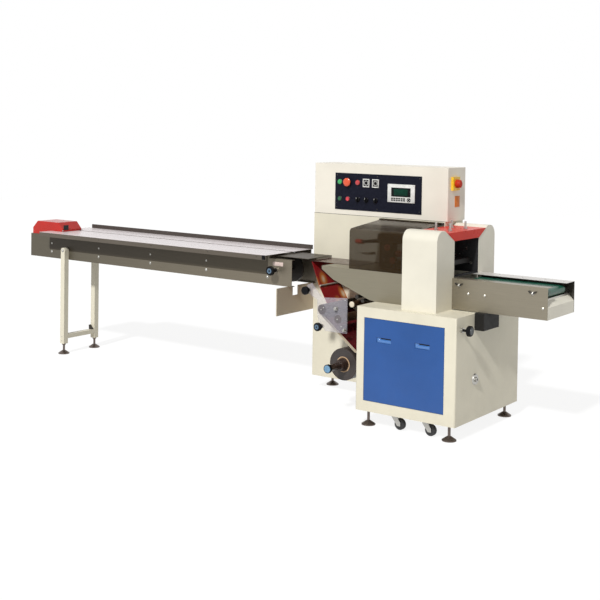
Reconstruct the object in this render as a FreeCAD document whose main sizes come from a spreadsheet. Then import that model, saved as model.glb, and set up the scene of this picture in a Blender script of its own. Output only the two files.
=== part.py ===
# Horizontal flow wrapper, film fed from below: infeed table on the left (-X), film reel and roller
# unit under the forming table, end seal housing and short discharge conveyor on the right (+X).
# Millimetres. +X is the way the product flows, the operator stands on the -Y side, Z is 0 on the
# floor. X and Y are 0 at the middle of the machine.
import FreeCAD, Part
import Sketcher
import os
import re

os.makedirs("parts", exist_ok=True)
doc = FreeCAD.newDocument("FlowWrapper")

# ---------------------------------------------------------------- driving dimensions
# Distances named *_x run from the discharge face of the cabinet towards the infeed, distances
# named *_y from the cabinet's front face towards the rear, heights from the floor.
SIZES = {
    # the machine's two reference faces, from the middle of the machine
    "face_x": 1661, "front_y": -385,
    # lower cabinet
    "cabinet_length": 635, "cabinet_depth": 770, "cabinet_base": 87, "cabinet_top": 675,
    "cabinet_corner": 8, "sheet": 2, "plate": 3, "seat": 0.3, "running": 0.05,
    # lift-off panel in the cabinet's front
    "panel_left": 52, "panel_right": 70, "panel_bottom": 146, "panel_top": 617,
    "panel_thickness": 18, "panel_gap": 1.5, "pull_width": 92, "pull_height": 30,
    "pull_depth": 12, "pull_first": 83, "pull_spacing": 245, "pull_level": 498,
    # column behind the film reel and control box on top of it
    "column_x": 1330, "column_y": 552, "column_end_x": 382, "box_end_x": 368,
    "box_base": 1133, "box_top": 1450, "box_corner": 6,
    # control panel and what is on it
    "console_x": 1170, "console_end_x": 544, "console_base": 1164, "console_top": 1393,
    "lamp_radius": 14, "lamp_height": 12, "stop_radius": 26, "stop_height": 26,
    "button_radius": 14, "button_height": 12, "selector_radius": 15, "selector_height": 20,
    "dial_width": 47, "dial_height": 52, "dial_depth": 8,
    "row_upper": 1337, "row_lower": 1232, "bezel": 3, "cap_edge": 2, "stop_dome": 8,
    "item_1_x": 1132, "item_2_x": 1072, "item_3_x": 999, "item_4_x": 936, "item_5_x": 868,
    "display_x": 779, "display_end_x": 588, "display_base": 1229, "display_top": 1340,
    "display_depth": 9,
    # main switch on the end of the control box
    "switch_y": 630, "switch_drop": 94, "switch_size": 80, "switch_depth": 16,
    "switch_knob_radius": 25, "switch_knob_depth": 28, "switch_pin_radius": 6, "switch_taper": 7,
    # end seal housing: two piers with a tunnel between them
    "seal_x": 381, "seal_end_x": 162, "pier_y": 65, "pier_rear_y": 758, "tunnel_y": 264,
    "tunnel_rear_y": 556, "pier_top": 1120, "pier_round": 60, "pier_shoulder": 90,
    "pier_slope_base": 1056, "hood_left_x": 380, "hood_top": 1106,
    "jaw_shaft_radius": 16, "jaw_reach": 61, "jaw_x": 271, "jaw_width": 26, "jaw_gap": 8,
    "jaw_bearing": 20, "jaw_end_gap": 12, "product_level": 858,
    "stud_radius": 6, "stud_top": 1152, "stud_x": 300, "stud_pitch": 90, "stud_y": 296,
    "stud_span": 184, "stud_nut_radius": 11, "stud_nut_height": 12,
    # forming table between the film former and the end seal housing
    "apron_y": 190, "table_x": 1014, "table_top": 852, "apron_nose": 20, "nose_drop_x": 931,
    "nose_drop": 776, "apron_foot_x": 672, "apron_foot": 680,
    # smoked cover over the forming table
    "cover_x": 818, "cover_end_x": 400, "cover_thickness": 5, "cover_corner": 1087,
    "cover_round": 24, "hinge_pin_radius": 4, "hinge_sleeve": 4, "hinge_room": 14,
    "hinge_block": 12,
    # infeed table
    "frame_left_x": 3730, "frame_end_x": 1303, "frame_y": 280, "frame_rear_y": 540,
    "frame_base": 683, "frame_top": 850, "flange": 32, "top_left_x": 3515, "top_end_x": 1425,
    "top_y": 172, "top_rear_y": 658, "top_level": 880, "top_lip": 31, "slot_y": 448,
    "slot_width": 22, "rail_left_x": 3472, "rail_end_x": 1414, "rail_width": 8,
    "rail_top": 908, "crossbar_width": 40, "crossbar_pitch": 480, "crossbar_x": 3440,
    "crossbar_count": 5,
    # chain and sprockets
    "chain_left_x": 3600, "chain_end_x": 1420, "chain_level": 775, "chain_radius": 85,
    "chain_height": 12, "chain_width": 14, "sprocket_bore": 12,
    # red cover over the tail of the infeed
    "tail_x": 3712, "tail_end_x": 3386, "tail_top": 945, "tail_y": 282, "tail_rear_y": 463,
    "tail_shoulder": 895, "tail_slope": 50,
    # stand under the tail of the infeed
    "stand_x": 3360, "leg_width": 40, "leg_base": 74, "leg_top": 771,
    "brace_level": 110, "brace_height": 30,
    # levelling feet
    "foot_radius": 40, "foot_rim": 6, "foot_height": 24, "foot_neck": 13, "stem_radius": 8,
    "nut_radius": 14, "nut_height": 9, "foot_x": 58, "foot_left_x": 575, "foot_far_x": 1285,
    "foot_y": 49,
    # casters
    "caster_x": 205, "caster_pitch": 195, "caster_y": 60,
    "wheel_radius": 32, "wheel_width": 24, "wheel_level": 35, "trail": 28, "axle_radius": 5,
    "cheek": 3, "cheek_gap": 3, "fork_radius": 22, "fork_top": 78, "fork_plate": 6,
    "pin_radius": 8, "pin_head": 11, "caster_plate": 60, "caster_plate_height": 6,
    # bracket from the infeed frame to the column
    "bracket_base": 513, "bracket_y": 167, "bracket_rear_y": 640, "notch_y": 330, "notch_width": 56,
    "notch_depth": 60, "bracket_thickness": 6,
    # film former, web and roller unit
    "bridge_x": 1462, "bridge_end_x": 1190, "bridge_y": 300, "bridge_level": 864,
    "former_y": 325, "former_top_x": 1185, "former_top": 852, "former_lip_x": 1127,
    "former_lip": 706, "lip_radius": 5, "film": 2, "film_section": 3, "film_end_x": 840,
    "web_gap": 2,
    "web_bend_x": 1042, "web_bend": 563, "web_end_x": 775, "web_end": 356,
    "arm_width": 34, "arm_rise": 44, "plate_left_x": 1047, "plate_right_x": 832,
    "plate_top_left": 642, "plate_top": 674, "plate_base": 462, "plate_foot_x": 985,
    "plate_cheek": 560, "plate_waist_x": 1036, "plate_waist": 515,
    "plate_y": 195, "roller_plate": 8, "roller_a_x": 1017, "roller_a_level": 586,
    "roller_a_radius": 30, "roller_b_x": 900, "roller_b_level": 540, "roller_b_radius": 26,
    "roller_c_x": 801, "roller_c_level": 640, "roller_c_radius": 17,
    # film reel
    "reel_x": 846, "reel_level": 281, "reel_radius": 95, "reel_y": 187, "reel_width": 330,
    "core_radius": 40, "reel_shaft_radius": 20, "shaft_tip_y": 38, "cap_radius": 25,
    "cap_depth": 18, "cone_depth": 46, "cone_step": 11, "reel_boss": 14,
    # knobs
    "knob_radius": 29, "knob_depth": 24, "knob_edge": 4, "knob_back": 5, "knob_hub_radius": 13,
    "spindle_radius": 7,
    "infeed_knob_x": 1422, "infeed_knob_level": 780, "infeed_knob_y": 205,
    "upper_knob_x": 1107, "upper_knob_level": 696, "lower_knob_x": 1012, "lower_knob_level": 488,
    "small_knob_radius": 25, "small_knob_depth": 26, "knob_stand": 12, "boss_wall": 7,
    "boss_depth": 12,
    "wheel_y": 56, "hand_level": 606, "hand_reach": 62, "bushing_radius": 14,
    "socket_y": 222, "socket_level": 312, "socket_radius": 32, "socket_depth": 8,
    # discharge conveyor
    "conveyor_end_x": 408, "side_y": 243, "side_rear_y": 600, "side_base": 679,
    "side_top": 852, "side_flange": 55, "rear_flange": 112, "belt_y": 305, "belt_rear_y": 525,
    "belt_level": 812,
    "belt_radius": 24, "belt": 3, "belt_end_x": 385, "belt_start_x": 140,
    "drive_reach": 57, "drive_y": 207, "drive_rear_y": 390, "drive_base": 585,
    "nose_face": 745, "nose_top": 775, "nose_run": 26,
}

sheet = doc.addObject("Spreadsheet::Sheet", "Sizes")
for row, (alias, value) in enumerate(SIZES.items(), start=1):
    sheet.set("A%d" % row, alias)
    sheet.set("B%d" % row, str(value))
    sheet.setAlias("B%d" % row, alias)
doc.recompute()

# ---------------------------------------------------------------- ways of making a piece
NAME = re.compile(r"\b(%s)\b" % "|".join(sorted(SIZES, key=len, reverse=True)))
pieces = []


def bind(obj, prop, text):
    """Ties one property of an object to an expression over the named sizes."""
    obj.setExpression(prop, NAME.sub(r"Sizes.\1", text))


def place(obj, x, y, z):
    for axis, text in zip("xyz", (x, y, z)):
        bind(obj, "Placement.Base." + axis, text)
    return obj


def node(obj, label):
    """Gives an object its own name and puts it among the pieces that are kept."""
    obj.Label = label
    pieces.append(obj)
    return obj


def x_at(distance):
    return "face_x - (%s)" % distance


def y_at(distance):
    return "front_y + (%s)" % distance


def block(name, x, y, z, length, width, height):
    obj = doc.addObject("Part::Box", name)
    bind(obj, "Length", length)
    bind(obj, "Width", width)
    bind(obj, "Height", height)
    return place(obj, x, y, z)


TURN = {
    "X": FreeCAD.Rotation(FreeCAD.Vector(0, 1, 0), 90),
    "Y": FreeCAD.Rotation(FreeCAD.Vector(1, 0, 0), -90),
    "Z": FreeCAD.Rotation(),
}


def rod(name, axis, x, y, z, radius, length):
    """A round bar that starts at a point and runs the positive way along one axis."""
    obj = doc.addObject("Part::Cylinder", name)
    obj.Placement = FreeCAD.Placement(FreeCAD.Vector(), TURN[axis])
    bind(obj, "Radius", radius)
    bind(obj, "Height", length)
    return place(obj, x, y, z)


def cut(name, base, tool):
    obj = doc.addObject("Part::Cut", name)
    obj.Base = base
    obj.Tool = tool
    return obj


def fuse(name, shapes):
    obj = doc.addObject("Part::MultiFuse", name)
    obj.Shapes = shapes
    return obj


def group(name, shapes):
    """Like pieces that do not touch, kept as one node."""
    obj = doc.addObject("Part::Compound", name)
    obj.Links = shapes
    return obj


def body_at(name, x, y, z):
    return place(doc.addObject("PartDesign::Body", name), x, y, z)


def sketch_on(body, plane):
    """A sketch on one of the body's own origin planes."""
    sketch = body.newObject("Sketcher::SketchObject", body.Name + "_outline")
    support = [f for f in body.Origin.OriginFeatures if f.Role == plane + "_Plane"][0]
    sketch.AttachmentSupport = [(support, "")]
    sketch.MapMode = "FlatFace"
    return sketch


def outline(sketch, corners):
    """A closed outline of straight lines, each corner held by its own two distances."""
    count = len(corners)
    first = sketch.GeometryCount
    guess = [FreeCAD.Vector(i + 1, (i * i) % count + 1, 0) for i in range(count)]
    for i in range(count):
        sketch.addGeometry(Part.LineSegment(guess[i], guess[(i + 1) % count]), False)
    for i in range(count):
        follow = first + (i + 1) % count
        sketch.addConstraint(Sketcher.Constraint("Coincident", first + i, 2, follow, 1))
    for i, corner in enumerate(corners):
        for kind, start, text in zip(("DistanceX", "DistanceY"), guess[i], corner):
            tie = Sketcher.Constraint(kind, -1, 1, first + i, 1, start)
            bind(sketch, "Constraints[%d]" % sketch.addConstraint(tie), text)


def ring(sketch, across, up, radius):
    """A circle in a sketch."""
    index = sketch.addGeometry(Part.Circle(FreeCAD.Vector(1, 1, 0), FreeCAD.Vector(0, 0, 1), 1))
    for kind, text in (("DistanceX", across), ("DistanceY", up)):
        tie = Sketcher.Constraint(kind, -1, 1, index, 3, 1)
        bind(sketch, "Constraints[%d]" % sketch.addConstraint(tie), text)
    tie = Sketcher.Constraint("Radius", index, 1)
    bind(sketch, "Constraints[%d]" % sketch.addConstraint(tie), radius)


def pad(body, sketch, length, backwards=False, middle=False):
    feature = body.newObject("PartDesign::Pad", body.Name + "_pad")
    feature.Profile = sketch
    feature.Reversed = backwards
    feature.Midplane = middle
    bind(feature, "Length", length)
    sketch.Visibility = False
    return feature


def pocket(body, sketch, length, backwards=False, middle=False):
    feature = body.newObject("PartDesign::Pocket", body.Name + "_pocket")
    feature.Profile = sketch
    feature.Reversed = backwards
    feature.Midplane = middle
    bind(feature, "Length", length)
    sketch.Visibility = False
    return feature


def along_x(name, x, y, z, corners, length):
    """A bar of one section: corners are (Y, Z) from its place, and it runs the +X way."""
    body = body_at(name, x, y, z)
    sketch = sketch_on(body, "YZ")
    outline(sketch, corners)
    pad(body, sketch, length)
    return body


def along_y(name, x, y, z, corners, width):
    """A plate of one outline: corners are (X, Z) from its place, and it runs the +Y way."""
    body = body_at(name, x, y, z)
    sketch = sketch_on(body, "XZ")
    outline(sketch, corners)
    pad(body, sketch, width, backwards=True)
    return body


def turned(name, axis, x, y, z, profile):
    """A turned piece: profile is (distance along the axis, radius) corners."""
    body = body_at(name, x, y, z)
    sketch = sketch_on(body, "XZ" if axis == "Z" else "XY")
    outline(sketch, profile if axis == "X" else [(radius, run) for run, radius in profile])
    feature = body.newObject("PartDesign::Revolution", body.Name + "_turn")
    feature.Profile = sketch
    feature.ReferenceAxis = (sketch, ["H_Axis" if axis == "X" else "V_Axis"])
    feature.Angle = 360
    sketch.Visibility = False
    return body


def edges_where(shape, test):
    return ["Edge%d" % (i + 1) for i, edge in enumerate(shape.Edges) if test(edge)]


def straight_along(axis):
    """A test for straight edges that run along one axis."""
    def test(edge):
        run = edge.Vertexes[-1].Point - edge.Vertexes[0].Point
        return run.Length > 1 and abs(run.dot(axis)) > 0.999 * run.Length
    return test


def rounded(body, base, edges, radius):
    feature = body.newObject("PartDesign::Fillet", body.Name + "_round")
    feature.Base = (base, edges)
    bind(feature, "Radius", radius)
    return feature


X_AXIS = FreeCAD.Vector(1, 0, 0)
Y_AXIS = FreeCAD.Vector(0, 1, 0)
Z_AXIS = FreeCAD.Vector(0, 0, 1)

# places that follow from other sizes
SWITCH_LEVEL = "(box_top - switch_drop)"
REAR_CASTER = "(cabinet_depth - caster_y)"
REAR_FOOT = "(cabinet_depth - foot_y)"
WEB_Y = "(plate_y + roller_plate + web_gap)"
CROSSBARS = SIZES["crossbar_count"]


# ---------------------------------------------------------------- lower cabinet and panel
def lower_cabinet():
    body = body_at("lower_cabinet", x_at("cabinet_length"), y_at("0"), "cabinet_base")
    sketch = sketch_on(body, "XY")
    outline(sketch, [("0", "0"), ("cabinet_length", "0"), ("cabinet_length", "cabinet_depth"),
                     ("0", "cabinet_depth")])
    base = pad(body, sketch, "cabinet_top - cabinet_base")
    doc.recompute()
    rounded(body, base, edges_where(base.Shape, straight_along(Z_AXIS)), "cabinet_corner")
    recess = sketch_on(body, "XZ")
    low, high = "panel_bottom - cabinet_base", "panel_top - cabinet_base"
    left, right = "panel_left", "cabinet_length - panel_right"
    outline(recess, [(left, low), (right, low), (right, high), (left, high)])
    pocket(body, recess, "panel_thickness")
    return node(body, "lower_cabinet")


def blue_panel():
    width = "cabinet_length - panel_left - panel_right - 2 * panel_gap"
    height = "panel_top - panel_bottom - 2 * panel_gap"
    body = along_y("blue_panel", x_at("cabinet_length - panel_left - panel_gap"), y_at("0"),
                   "panel_bottom + panel_gap",
                   [("0", "0"), (width, "0"), (width, height), ("0", height)], "panel_thickness")
    for start in ("pull_first", "pull_first + pull_spacing"):
        pull = sketch_on(body, "XZ")
        low = "pull_level - panel_bottom - panel_gap - pull_height / 2"
        high = "pull_level - panel_bottom - panel_gap + pull_height / 2"
        end = start + " + pull_width"
        outline(pull, [(start, low), (end, low), (end, high), (start, high)])
        pocket(body, pull, "pull_depth")
    return node(body, "blue_panel")


# ---------------------------------------------------------------- column and control box
def rear_body():
    column = "column_x - cabinet_length"
    body = along_y("rear_body", x_at("column_x"), y_at("column_y"), "cabinet_base",
                   [("0", "0"), (column, "0"), (column, "cabinet_top - cabinet_base"),
                    ("column_x - column_end_x", "cabinet_top - cabinet_base"),
                    ("column_x - column_end_x", "box_base - cabinet_base"),
                    ("0", "box_base - cabinet_base")],
                   "cabinet_depth - column_y")
    return node(body, "rear_body")


def control_box():
    length, depth = "column_x - box_end_x", "cabinet_depth - column_y"
    body = body_at("control_box", x_at("column_x"), y_at("column_y"), "box_base")
    sketch = sketch_on(body, "XY")
    outline(sketch, [("0", "0"), (length, "0"), (length, depth), ("0", depth)])
    base = pad(body, sketch, "box_top - box_base")
    doc.recompute()
    rounded(body, base, edges_where(base.Shape, straight_along(Z_AXIS)), "box_corner")
    return node(body, "control_box")


def control_panel():
    """The dark plate on the front of the control box."""
    plate = block("control_panel", x_at("console_x"), y_at("column_y - plate"), "console_base",
                  "console_x - console_end_x", "plate", "console_top - console_base")
    return node(plate, "control_panel")


def panel_item(name, item, level, profile):
    """A turned item that stands out from the control panel towards the operator."""
    body = turned(name, "Y", x_at(item), y_at("column_y - plate"), level,
                  [("-(%s)" % run, radius) for run, radius in profile])
    return body


def button_profile(radius, height):
    return [("0", "0"), ("0", radius + " + bezel"), ("bezel", radius + " + bezel"),
            ("bezel", radius), (height + " - cap_edge", radius), (height, radius + " - cap_edge"),
            (height, "0")]


def panel_items():
    lamps = [panel_item("lamp_%d" % i, item, "row_upper", button_profile("lamp_radius", "lamp_height"))
             for i, item in enumerate(("item_1_x", "item_3_x"), start=1)]
    stop = panel_item("stop", "item_2_x", "row_upper",
                      [("0", "0"), ("0", "button_radius"), ("stop_height / 2", "button_radius"),
                       ("stop_height / 2", "stop_radius"), ("stop_height - cap_edge", "stop_radius"),
                       ("stop_height", "stop_radius - stop_dome"), ("stop_height", "0")])
    buttons = [panel_item("button_%d" % i, item, "row_lower",
                          button_profile("button_radius", "button_height"))
               for i, item in enumerate(("item_1_x", "item_2_x"), start=1)]
    selectors = [panel_item("selector_%d" % i, item, "row_lower",
                            button_profile("selector_radius", "selector_height"))
                 for i, item in enumerate(("item_3_x", "item_4_x", "item_5_x"), start=1)]
    node(group("panel_controls", lamps + [stop] + buttons + selectors), "panel_controls")
    dials = [block("dial_%d" % i, x_at(item + " + dial_width / 2"),
                   y_at("column_y - plate - dial_depth"), "row_upper - dial_height / 2",
                   "dial_width", "dial_depth", "dial_height")
             for i, item in enumerate(("item_4_x", "item_5_x"), start=1)]
    display = block("display_unit", x_at("display_x"), y_at("column_y - plate - display_depth"),
                    "display_base", "display_x - display_end_x", "display_depth",
                    "display_top - display_base")
    node(group("panel_instruments", dials + [display]), "panel_instruments")


def main_switch():
    base = block("switch_block", x_at("box_end_x"), y_at("switch_y - switch_size / 2"),
                 SWITCH_LEVEL + " - switch_size / 2", "switch_depth", "switch_size", "switch_size")
    pin = rod("switch_pin", "X", x_at("box_end_x - switch_depth"), y_at("switch_y"),
              SWITCH_LEVEL, "switch_pin_radius", "switch_knob_depth / 2")
    node(fuse("switch_base", [base, pin]), "switch_base")
    knob = turned("switch_knob", "X", x_at("box_end_x - switch_depth - seat"), y_at("switch_y"),
                  SWITCH_LEVEL,
                  [("0", "switch_pin_radius + running"), ("0", "switch_knob_radius"),
                   ("switch_knob_depth / 2", "switch_knob_radius"),
                   ("switch_knob_depth", "switch_knob_radius - switch_taper"), ("switch_knob_depth", "0"),
                   ("switch_knob_depth / 2 + seat", "0"),
                   ("switch_knob_depth / 2 + seat", "switch_pin_radius + running")])
    node(knob, "switch_knob")


# ---------------------------------------------------------------- end seal housing
def pier(name, face, depth, side):
    """One side of the housing, built out from its tunnel face: side is -1 in front, 1 behind."""
    def across(text):
        return "%d * (%s)" % (side, text)
    shoulder = "%s - pier_shoulder" % depth
    body = along_x(name, x_at("seal_x"), y_at(face), "cabinet_top",
                   [(across(depth), "0"), (across(depth), "pier_top - cabinet_top"),
                    (across(shoulder), "pier_top - cabinet_top"),
                    (across("0"), "pier_slope_base - cabinet_top"), (across("0"), "0")],
                   "seal_x - seal_end_x")
    doc.recompute()
    box = body.Shape.BoundBox
    outer = box.YMax if side > 0 else box.YMin
    along = straight_along(X_AXIS)

    def outer_shoulder(edge):
        middle = body.Placement.multVec(edge.CenterOfMass)
        return along(edge) and abs(middle.z - box.ZMax) < 1 and abs(middle.y - outer) < 1
    rounded(body, body.Tip, edges_where(body.Tip.Shape, outer_shoulder), "pier_round")
    for level in (LOWER_JAW, UPPER_JAW):
        bearing = sketch_on(body, "XZ")
        ring(bearing, "seal_x - jaw_x", "%s - cabinet_top" % level, "jaw_shaft_radius + running")
        pocket(body, bearing, "jaw_bearing + seat", backwards=side < 0)
    return node(body, name)


LOWER_JAW = "(product_level - jaw_reach - jaw_gap / 2)"
UPPER_JAW = "(product_level + jaw_reach + jaw_gap / 2)"


def jaw(name, level):
    """A rotor with two sealing bars, one on each side of its shaft."""
    start, width = "tunnel_y - jaw_bearing", "tunnel_rear_y - tunnel_y + 2 * jaw_bearing"
    shaft = rod(name + "_shaft", "Y", x_at("jaw_x"), y_at(start), level, "jaw_shaft_radius", width)
    bars = block(name + "_bars", x_at("jaw_x + jaw_reach"), y_at("tunnel_y + jaw_end_gap"),
                 "%s - jaw_width / 2" % level, "2 * jaw_reach",
                 "tunnel_rear_y - tunnel_y - 2 * jaw_end_gap", "jaw_width")
    return node(fuse(name, [shaft, bars]), name)


def red_hood():
    """The red guard over the tunnel: a folded sheet that lies on the sloping shoulders."""
    slope = "((tunnel_y - pier_y - pier_shoulder) / (pier_top - pier_slope_base))"
    rise = "hood_top - pier_slope_base - seat"
    run = "(hood_top - pier_slope_base) * " + slope
    width = "tunnel_rear_y - tunnel_y"
    outer = along_x("hood_outer", x_at("hood_left_x"), y_at("tunnel_y"), "pier_slope_base + seat",
                    [("0", "0"), (width, "0"), (width + " + " + run, rise), ("-" + run, rise)],
                    "hood_left_x - seal_end_x + sheet")
    inner = along_x("hood_inner", x_at("hood_left_x + sheet"), y_at("tunnel_y"),
                    "pier_slope_base + seat",
                    [("2 * sheet", "-sheet"), (width + " - 2 * sheet", "-sheet"),
                     ("%s + %s - 4 * sheet" % (width, run), rise + " - sheet"),
                     ("4 * sheet - " + run, rise + " - sheet")],
                    "hood_left_x - seal_end_x")
    return node(cut("red_hood", outer, inner), "red_hood")


def hood_studs():
    studs = []
    for i, x in enumerate(("stud_x", "stud_x - stud_pitch")):
        for k, y in enumerate(("stud_y", "stud_y + stud_span")):
            tag = "stud_%d_%d" % (i, k)
            pin = rod(tag, "Z", x_at(x), y_at(y), "hood_top", "stud_radius", "stud_top - hood_top")
            nut = rod(tag + "_nut", "Z", x_at(x), y_at(y), "hood_top", "stud_nut_radius",
                      "stud_nut_height")
            studs.append(fuse(tag + "_set", [pin, nut]))
    return node(group("hood_studs", studs), "hood_studs")


# ---------------------------------------------------------------- forming table and cover
def table_housing():
    left = "table_x"
    body = along_y("table_housing", x_at("table_x"), y_at("apron_y"), "cabinet_top",
                   [("0", "table_top - cabinet_top"),
                    ("0", "table_top - apron_nose - cabinet_top"),
                    (left + " - nose_drop_x", "nose_drop - cabinet_top"),
                    (left + " - apron_foot_x", "apron_foot - cabinet_top"),
                    (left + " - cabinet_length", "0"), (left + " - seal_x", "0"),
                    (left + " - seal_x", "table_top - cabinet_top")],
                   "column_y - apron_y")
    return node(body, "table_housing")


def acrylic_cover():
    """The see-through cover: upright front, bent shoulder, top that rises to its hinge."""
    back = "(column_y - apron_y - hinge_room)"
    rise = "(box_base - hinge_room - table_top - seat)"
    corner = "(cover_corner - table_top - seat)"
    wall = "cover_thickness"
    body = along_x("acrylic_cover", x_at("cover_x"), y_at("apron_y"), "table_top + seat",
                   [("0", "0"), ("0", corner), (back, "%s + %s / 2" % (rise, wall)),
                    (back, "%s - %s / 2" % (rise, wall)), (wall, "%s - %s" % (corner, wall)),
                    (wall, "0")], "cover_x - cover_end_x")
    doc.recompute()
    along = straight_along(X_AXIS)
    front = body.Tip.Shape.BoundBox

    def shoulder(edge, offset):
        middle = edge.CenterOfMass
        at_front = abs(middle.y - front.YMin - offset) < 0.5
        return along(edge) and at_front and middle.z > front.Center.z
    thickness = doc.Sizes.cover_thickness
    outer = rounded(body, body.Tip, edges_where(body.Tip.Shape, lambda e: shoulder(e, 0)),
                    "cover_round")
    doc.recompute()
    rounded(body, outer, edges_where(outer.Shape, lambda e: shoulder(e, thickness)),
            "cover_round - cover_thickness")
    sleeve = sketch_on(body, "YZ")
    ring(sleeve, back, rise, "hinge_pin_radius + hinge_sleeve")
    pad(body, sleeve, "cover_x - cover_end_x")
    bore = sketch_on(body, "YZ")
    ring(bore, back, rise, "hinge_pin_radius + running")
    pocket(body, bore, "2 * (cover_x - cover_end_x)", middle=True)
    return node(body, "acrylic_cover")


def cover_hinge():
    """The hinge pin, held at each end by a block on the column."""
    level = "box_base - hinge_room"
    pin = rod("hinge_pin", "X", x_at("cover_x + seat + hinge_block"), y_at("column_y - hinge_room"),
              level, "hinge_pin_radius", "cover_x - cover_end_x + 2 * (seat + hinge_block)")
    ends = [block("hinge_block_%d" % i, x_at(x), y_at("column_y - hinge_room - hinge_block / 2"),
                  level + " - hinge_block / 2", "hinge_block", "hinge_room + hinge_block / 2",
                  "hinge_block")
            for i, x in enumerate(("cover_x + seat + hinge_block", "cover_end_x - seat"))]
    return node(fuse("cover_hinge", [pin] + ends), "cover_hinge")


# ---------------------------------------------------------------- infeed table
def channel(name, y, outward):
    """A side frame: a folded channel, its flanges towards the middle of the table."""
    height = "frame_top - frame_base"
    corners = [("0", "0"), ("flange", "0"), ("flange", "plate"), ("plate", "plate"),
               ("plate", height + " - plate"), ("flange", height + " - plate"),
               ("flange", height), ("0", height)]
    if outward:
        corners = [("flange - (%s)" % across, up) for across, up in corners]
    body = along_x(name, x_at("frame_left_x"), y, "frame_base", corners,
                   "frame_left_x - frame_end_x")
    return node(body, name)


def table_plate(name, start, width, lip_in_front):
    """One half of the table top, with its outer edge folded down."""
    corners = [("0", "0"), ("plate", "0"), ("plate", "top_lip - plate"),
               (width, "top_lip - plate"), (width, "top_lip"), ("0", "top_lip")]
    if not lip_in_front:
        corners = [("%s - (%s)" % (width, across), up) for across, up in corners]
    return along_x(name, x_at("top_left_x"), start, "top_level - top_lip", corners,
                   "top_left_x - top_end_x")


def infeed_frame():
    channel("infeed_frame_front", y_at("frame_y"), False)
    channel("infeed_frame_rear", y_at("frame_rear_y - flange"), True)
    half = "slot_width / 2"
    tops = [table_plate("infeed_top_front", y_at("top_y"), "(slot_y - %s - top_y)" % half, True),
            table_plate("infeed_top_rear", y_at("slot_y + " + half),
                        "(top_rear_y - slot_y - %s)" % half, False)]
    node(group("infeed_top", tops), "infeed_top")
    bars = [block("crossbar_%d" % i, x_at("crossbar_x - %d * crossbar_pitch" % i),
                  y_at("frame_y"), "frame_top", "crossbar_width", "frame_rear_y - frame_y",
                  "top_level - plate - frame_top") for i in range(CROSSBARS)]
    notch = [block("crossbar_notch_%d" % i, x_at("crossbar_x - %d * crossbar_pitch" % i),
                   y_at("slot_y - slot_width"), "frame_top", "crossbar_width",
                   "2 * slot_width", "top_level - plate - frame_top") for i in range(CROSSBARS)]
    cut_bars = [cut("crossbar_cut_%d" % i, bar, gap) for i, (bar, gap) in enumerate(zip(bars, notch))]
    node(group("crossbars", cut_bars), "crossbars")
    rail = block("rear_guide_rail", x_at("rail_left_x"), y_at("top_rear_y - rail_width"),
                 "top_level", "rail_left_x - rail_end_x", "rail_width", "rail_top - top_level")
    node(rail, "rear_guide_rail")


def infeed_chain():
    """The pusher chain: one fixed loop round the two sprockets."""
    length = "chain_left_x - chain_end_x"
    outer_mid = block("chain_outer_mid", x_at("chain_left_x"), y_at("slot_y - chain_width / 2"),
                      "chain_level - chain_radius", length, "chain_width", "2 * chain_radius")
    inner = "chain_radius - chain_height"
    inner_mid = block("chain_inner_mid", x_at("chain_left_x"), y_at("slot_y - chain_width / 2"),
                      "chain_level - (%s)" % inner, length, "chain_width", "2 * (%s)" % inner)
    ends = []
    holes = []
    for i, x in enumerate(("chain_left_x", "chain_end_x")):
        ends.append(rod("chain_end_%d" % i, "Y", x_at(x), y_at("slot_y - chain_width / 2"),
                        "chain_level", "chain_radius", "chain_width"))
        holes.append(rod("chain_hole_%d" % i, "Y", x_at(x), y_at("slot_y - chain_width / 2"),
                         "chain_level", inner, "chain_width"))
    outer = fuse("chain_outer", [outer_mid] + ends)
    hollow = fuse("chain_inner", [inner_mid] + holes)
    node(cut("infeed_chain", outer, hollow), "infeed_chain")
    wheels = []
    for name, x in (("tail_sprocket", "chain_left_x"), ("drive_sprocket", "chain_end_x")):
        disc = rod(name + "_disc", "Y", x_at(x), y_at("slot_y - chain_width / 2"), "chain_level",
                   inner, "chain_width")
        hub = rod(name + "_shaft", "Y", x_at(x), y_at("frame_y + plate"), "chain_level",
                  "sprocket_bore", "frame_rear_y - frame_y - 2 * plate")
        wheels.append(fuse(name, [disc, hub]))
    node(group("infeed_sprockets", wheels), "infeed_sprockets")


def tail_cover():
    """The red sheet hood over the tail of the infeed."""
    def skin(name, inset, y, width):
        left, right = "%s" % inset, "tail_x - tail_end_x - %s" % inset
        step = "tail_x - top_left_x - seat + %s" % inset
        top = "tail_top - frame_top - %s" % inset
        shoulder = "tail_shoulder - frame_top"
        foot = "0" if inset == "0" else "-sheet"
        table = "top_level - frame_top + seat" if inset == "0" else "top_level - frame_top - sheet"
        return along_y(name, x_at("tail_x"), y, "frame_top",
                       [(left, foot), (left, shoulder), (left + " + tail_slope", top),
                        (right + " - tail_slope", top), (right, shoulder), (right, table),
                        (step, table), (step, foot)], width)
    outer = skin("tail_outer", "0", y_at("tail_y"), "tail_rear_y - tail_y")
    inner = skin("tail_inner", "sheet", y_at("tail_y + sheet"), "tail_rear_y - tail_y - 2 * sheet")
    return node(cut("tail_cover", outer, inner), "tail_cover")


def infeed_stand():
    parts = []
    for tag, y in (("front", "frame_y - leg_width"), ("rear", "frame_rear_y")):
        leg = block("leg_" + tag, x_at("stand_x"), y_at(y), "leg_base", "leg_width", "leg_width",
                    "leg_top - leg_base - leg_width / 2")
        ear = rod("ear_" + tag, "Y", x_at("stand_x - leg_width / 2"), y_at(y),
                  "leg_top - leg_width / 2", "leg_width / 2", "leg_width")
        parts += [leg, ear]
    brace = block("stand_brace", x_at("stand_x"), y_at("frame_y"), "brace_level", "leg_width",
                  "frame_rear_y - frame_y", "brace_height")
    node(fuse("infeed_stand", parts + [brace]), "infeed_stand")


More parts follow.
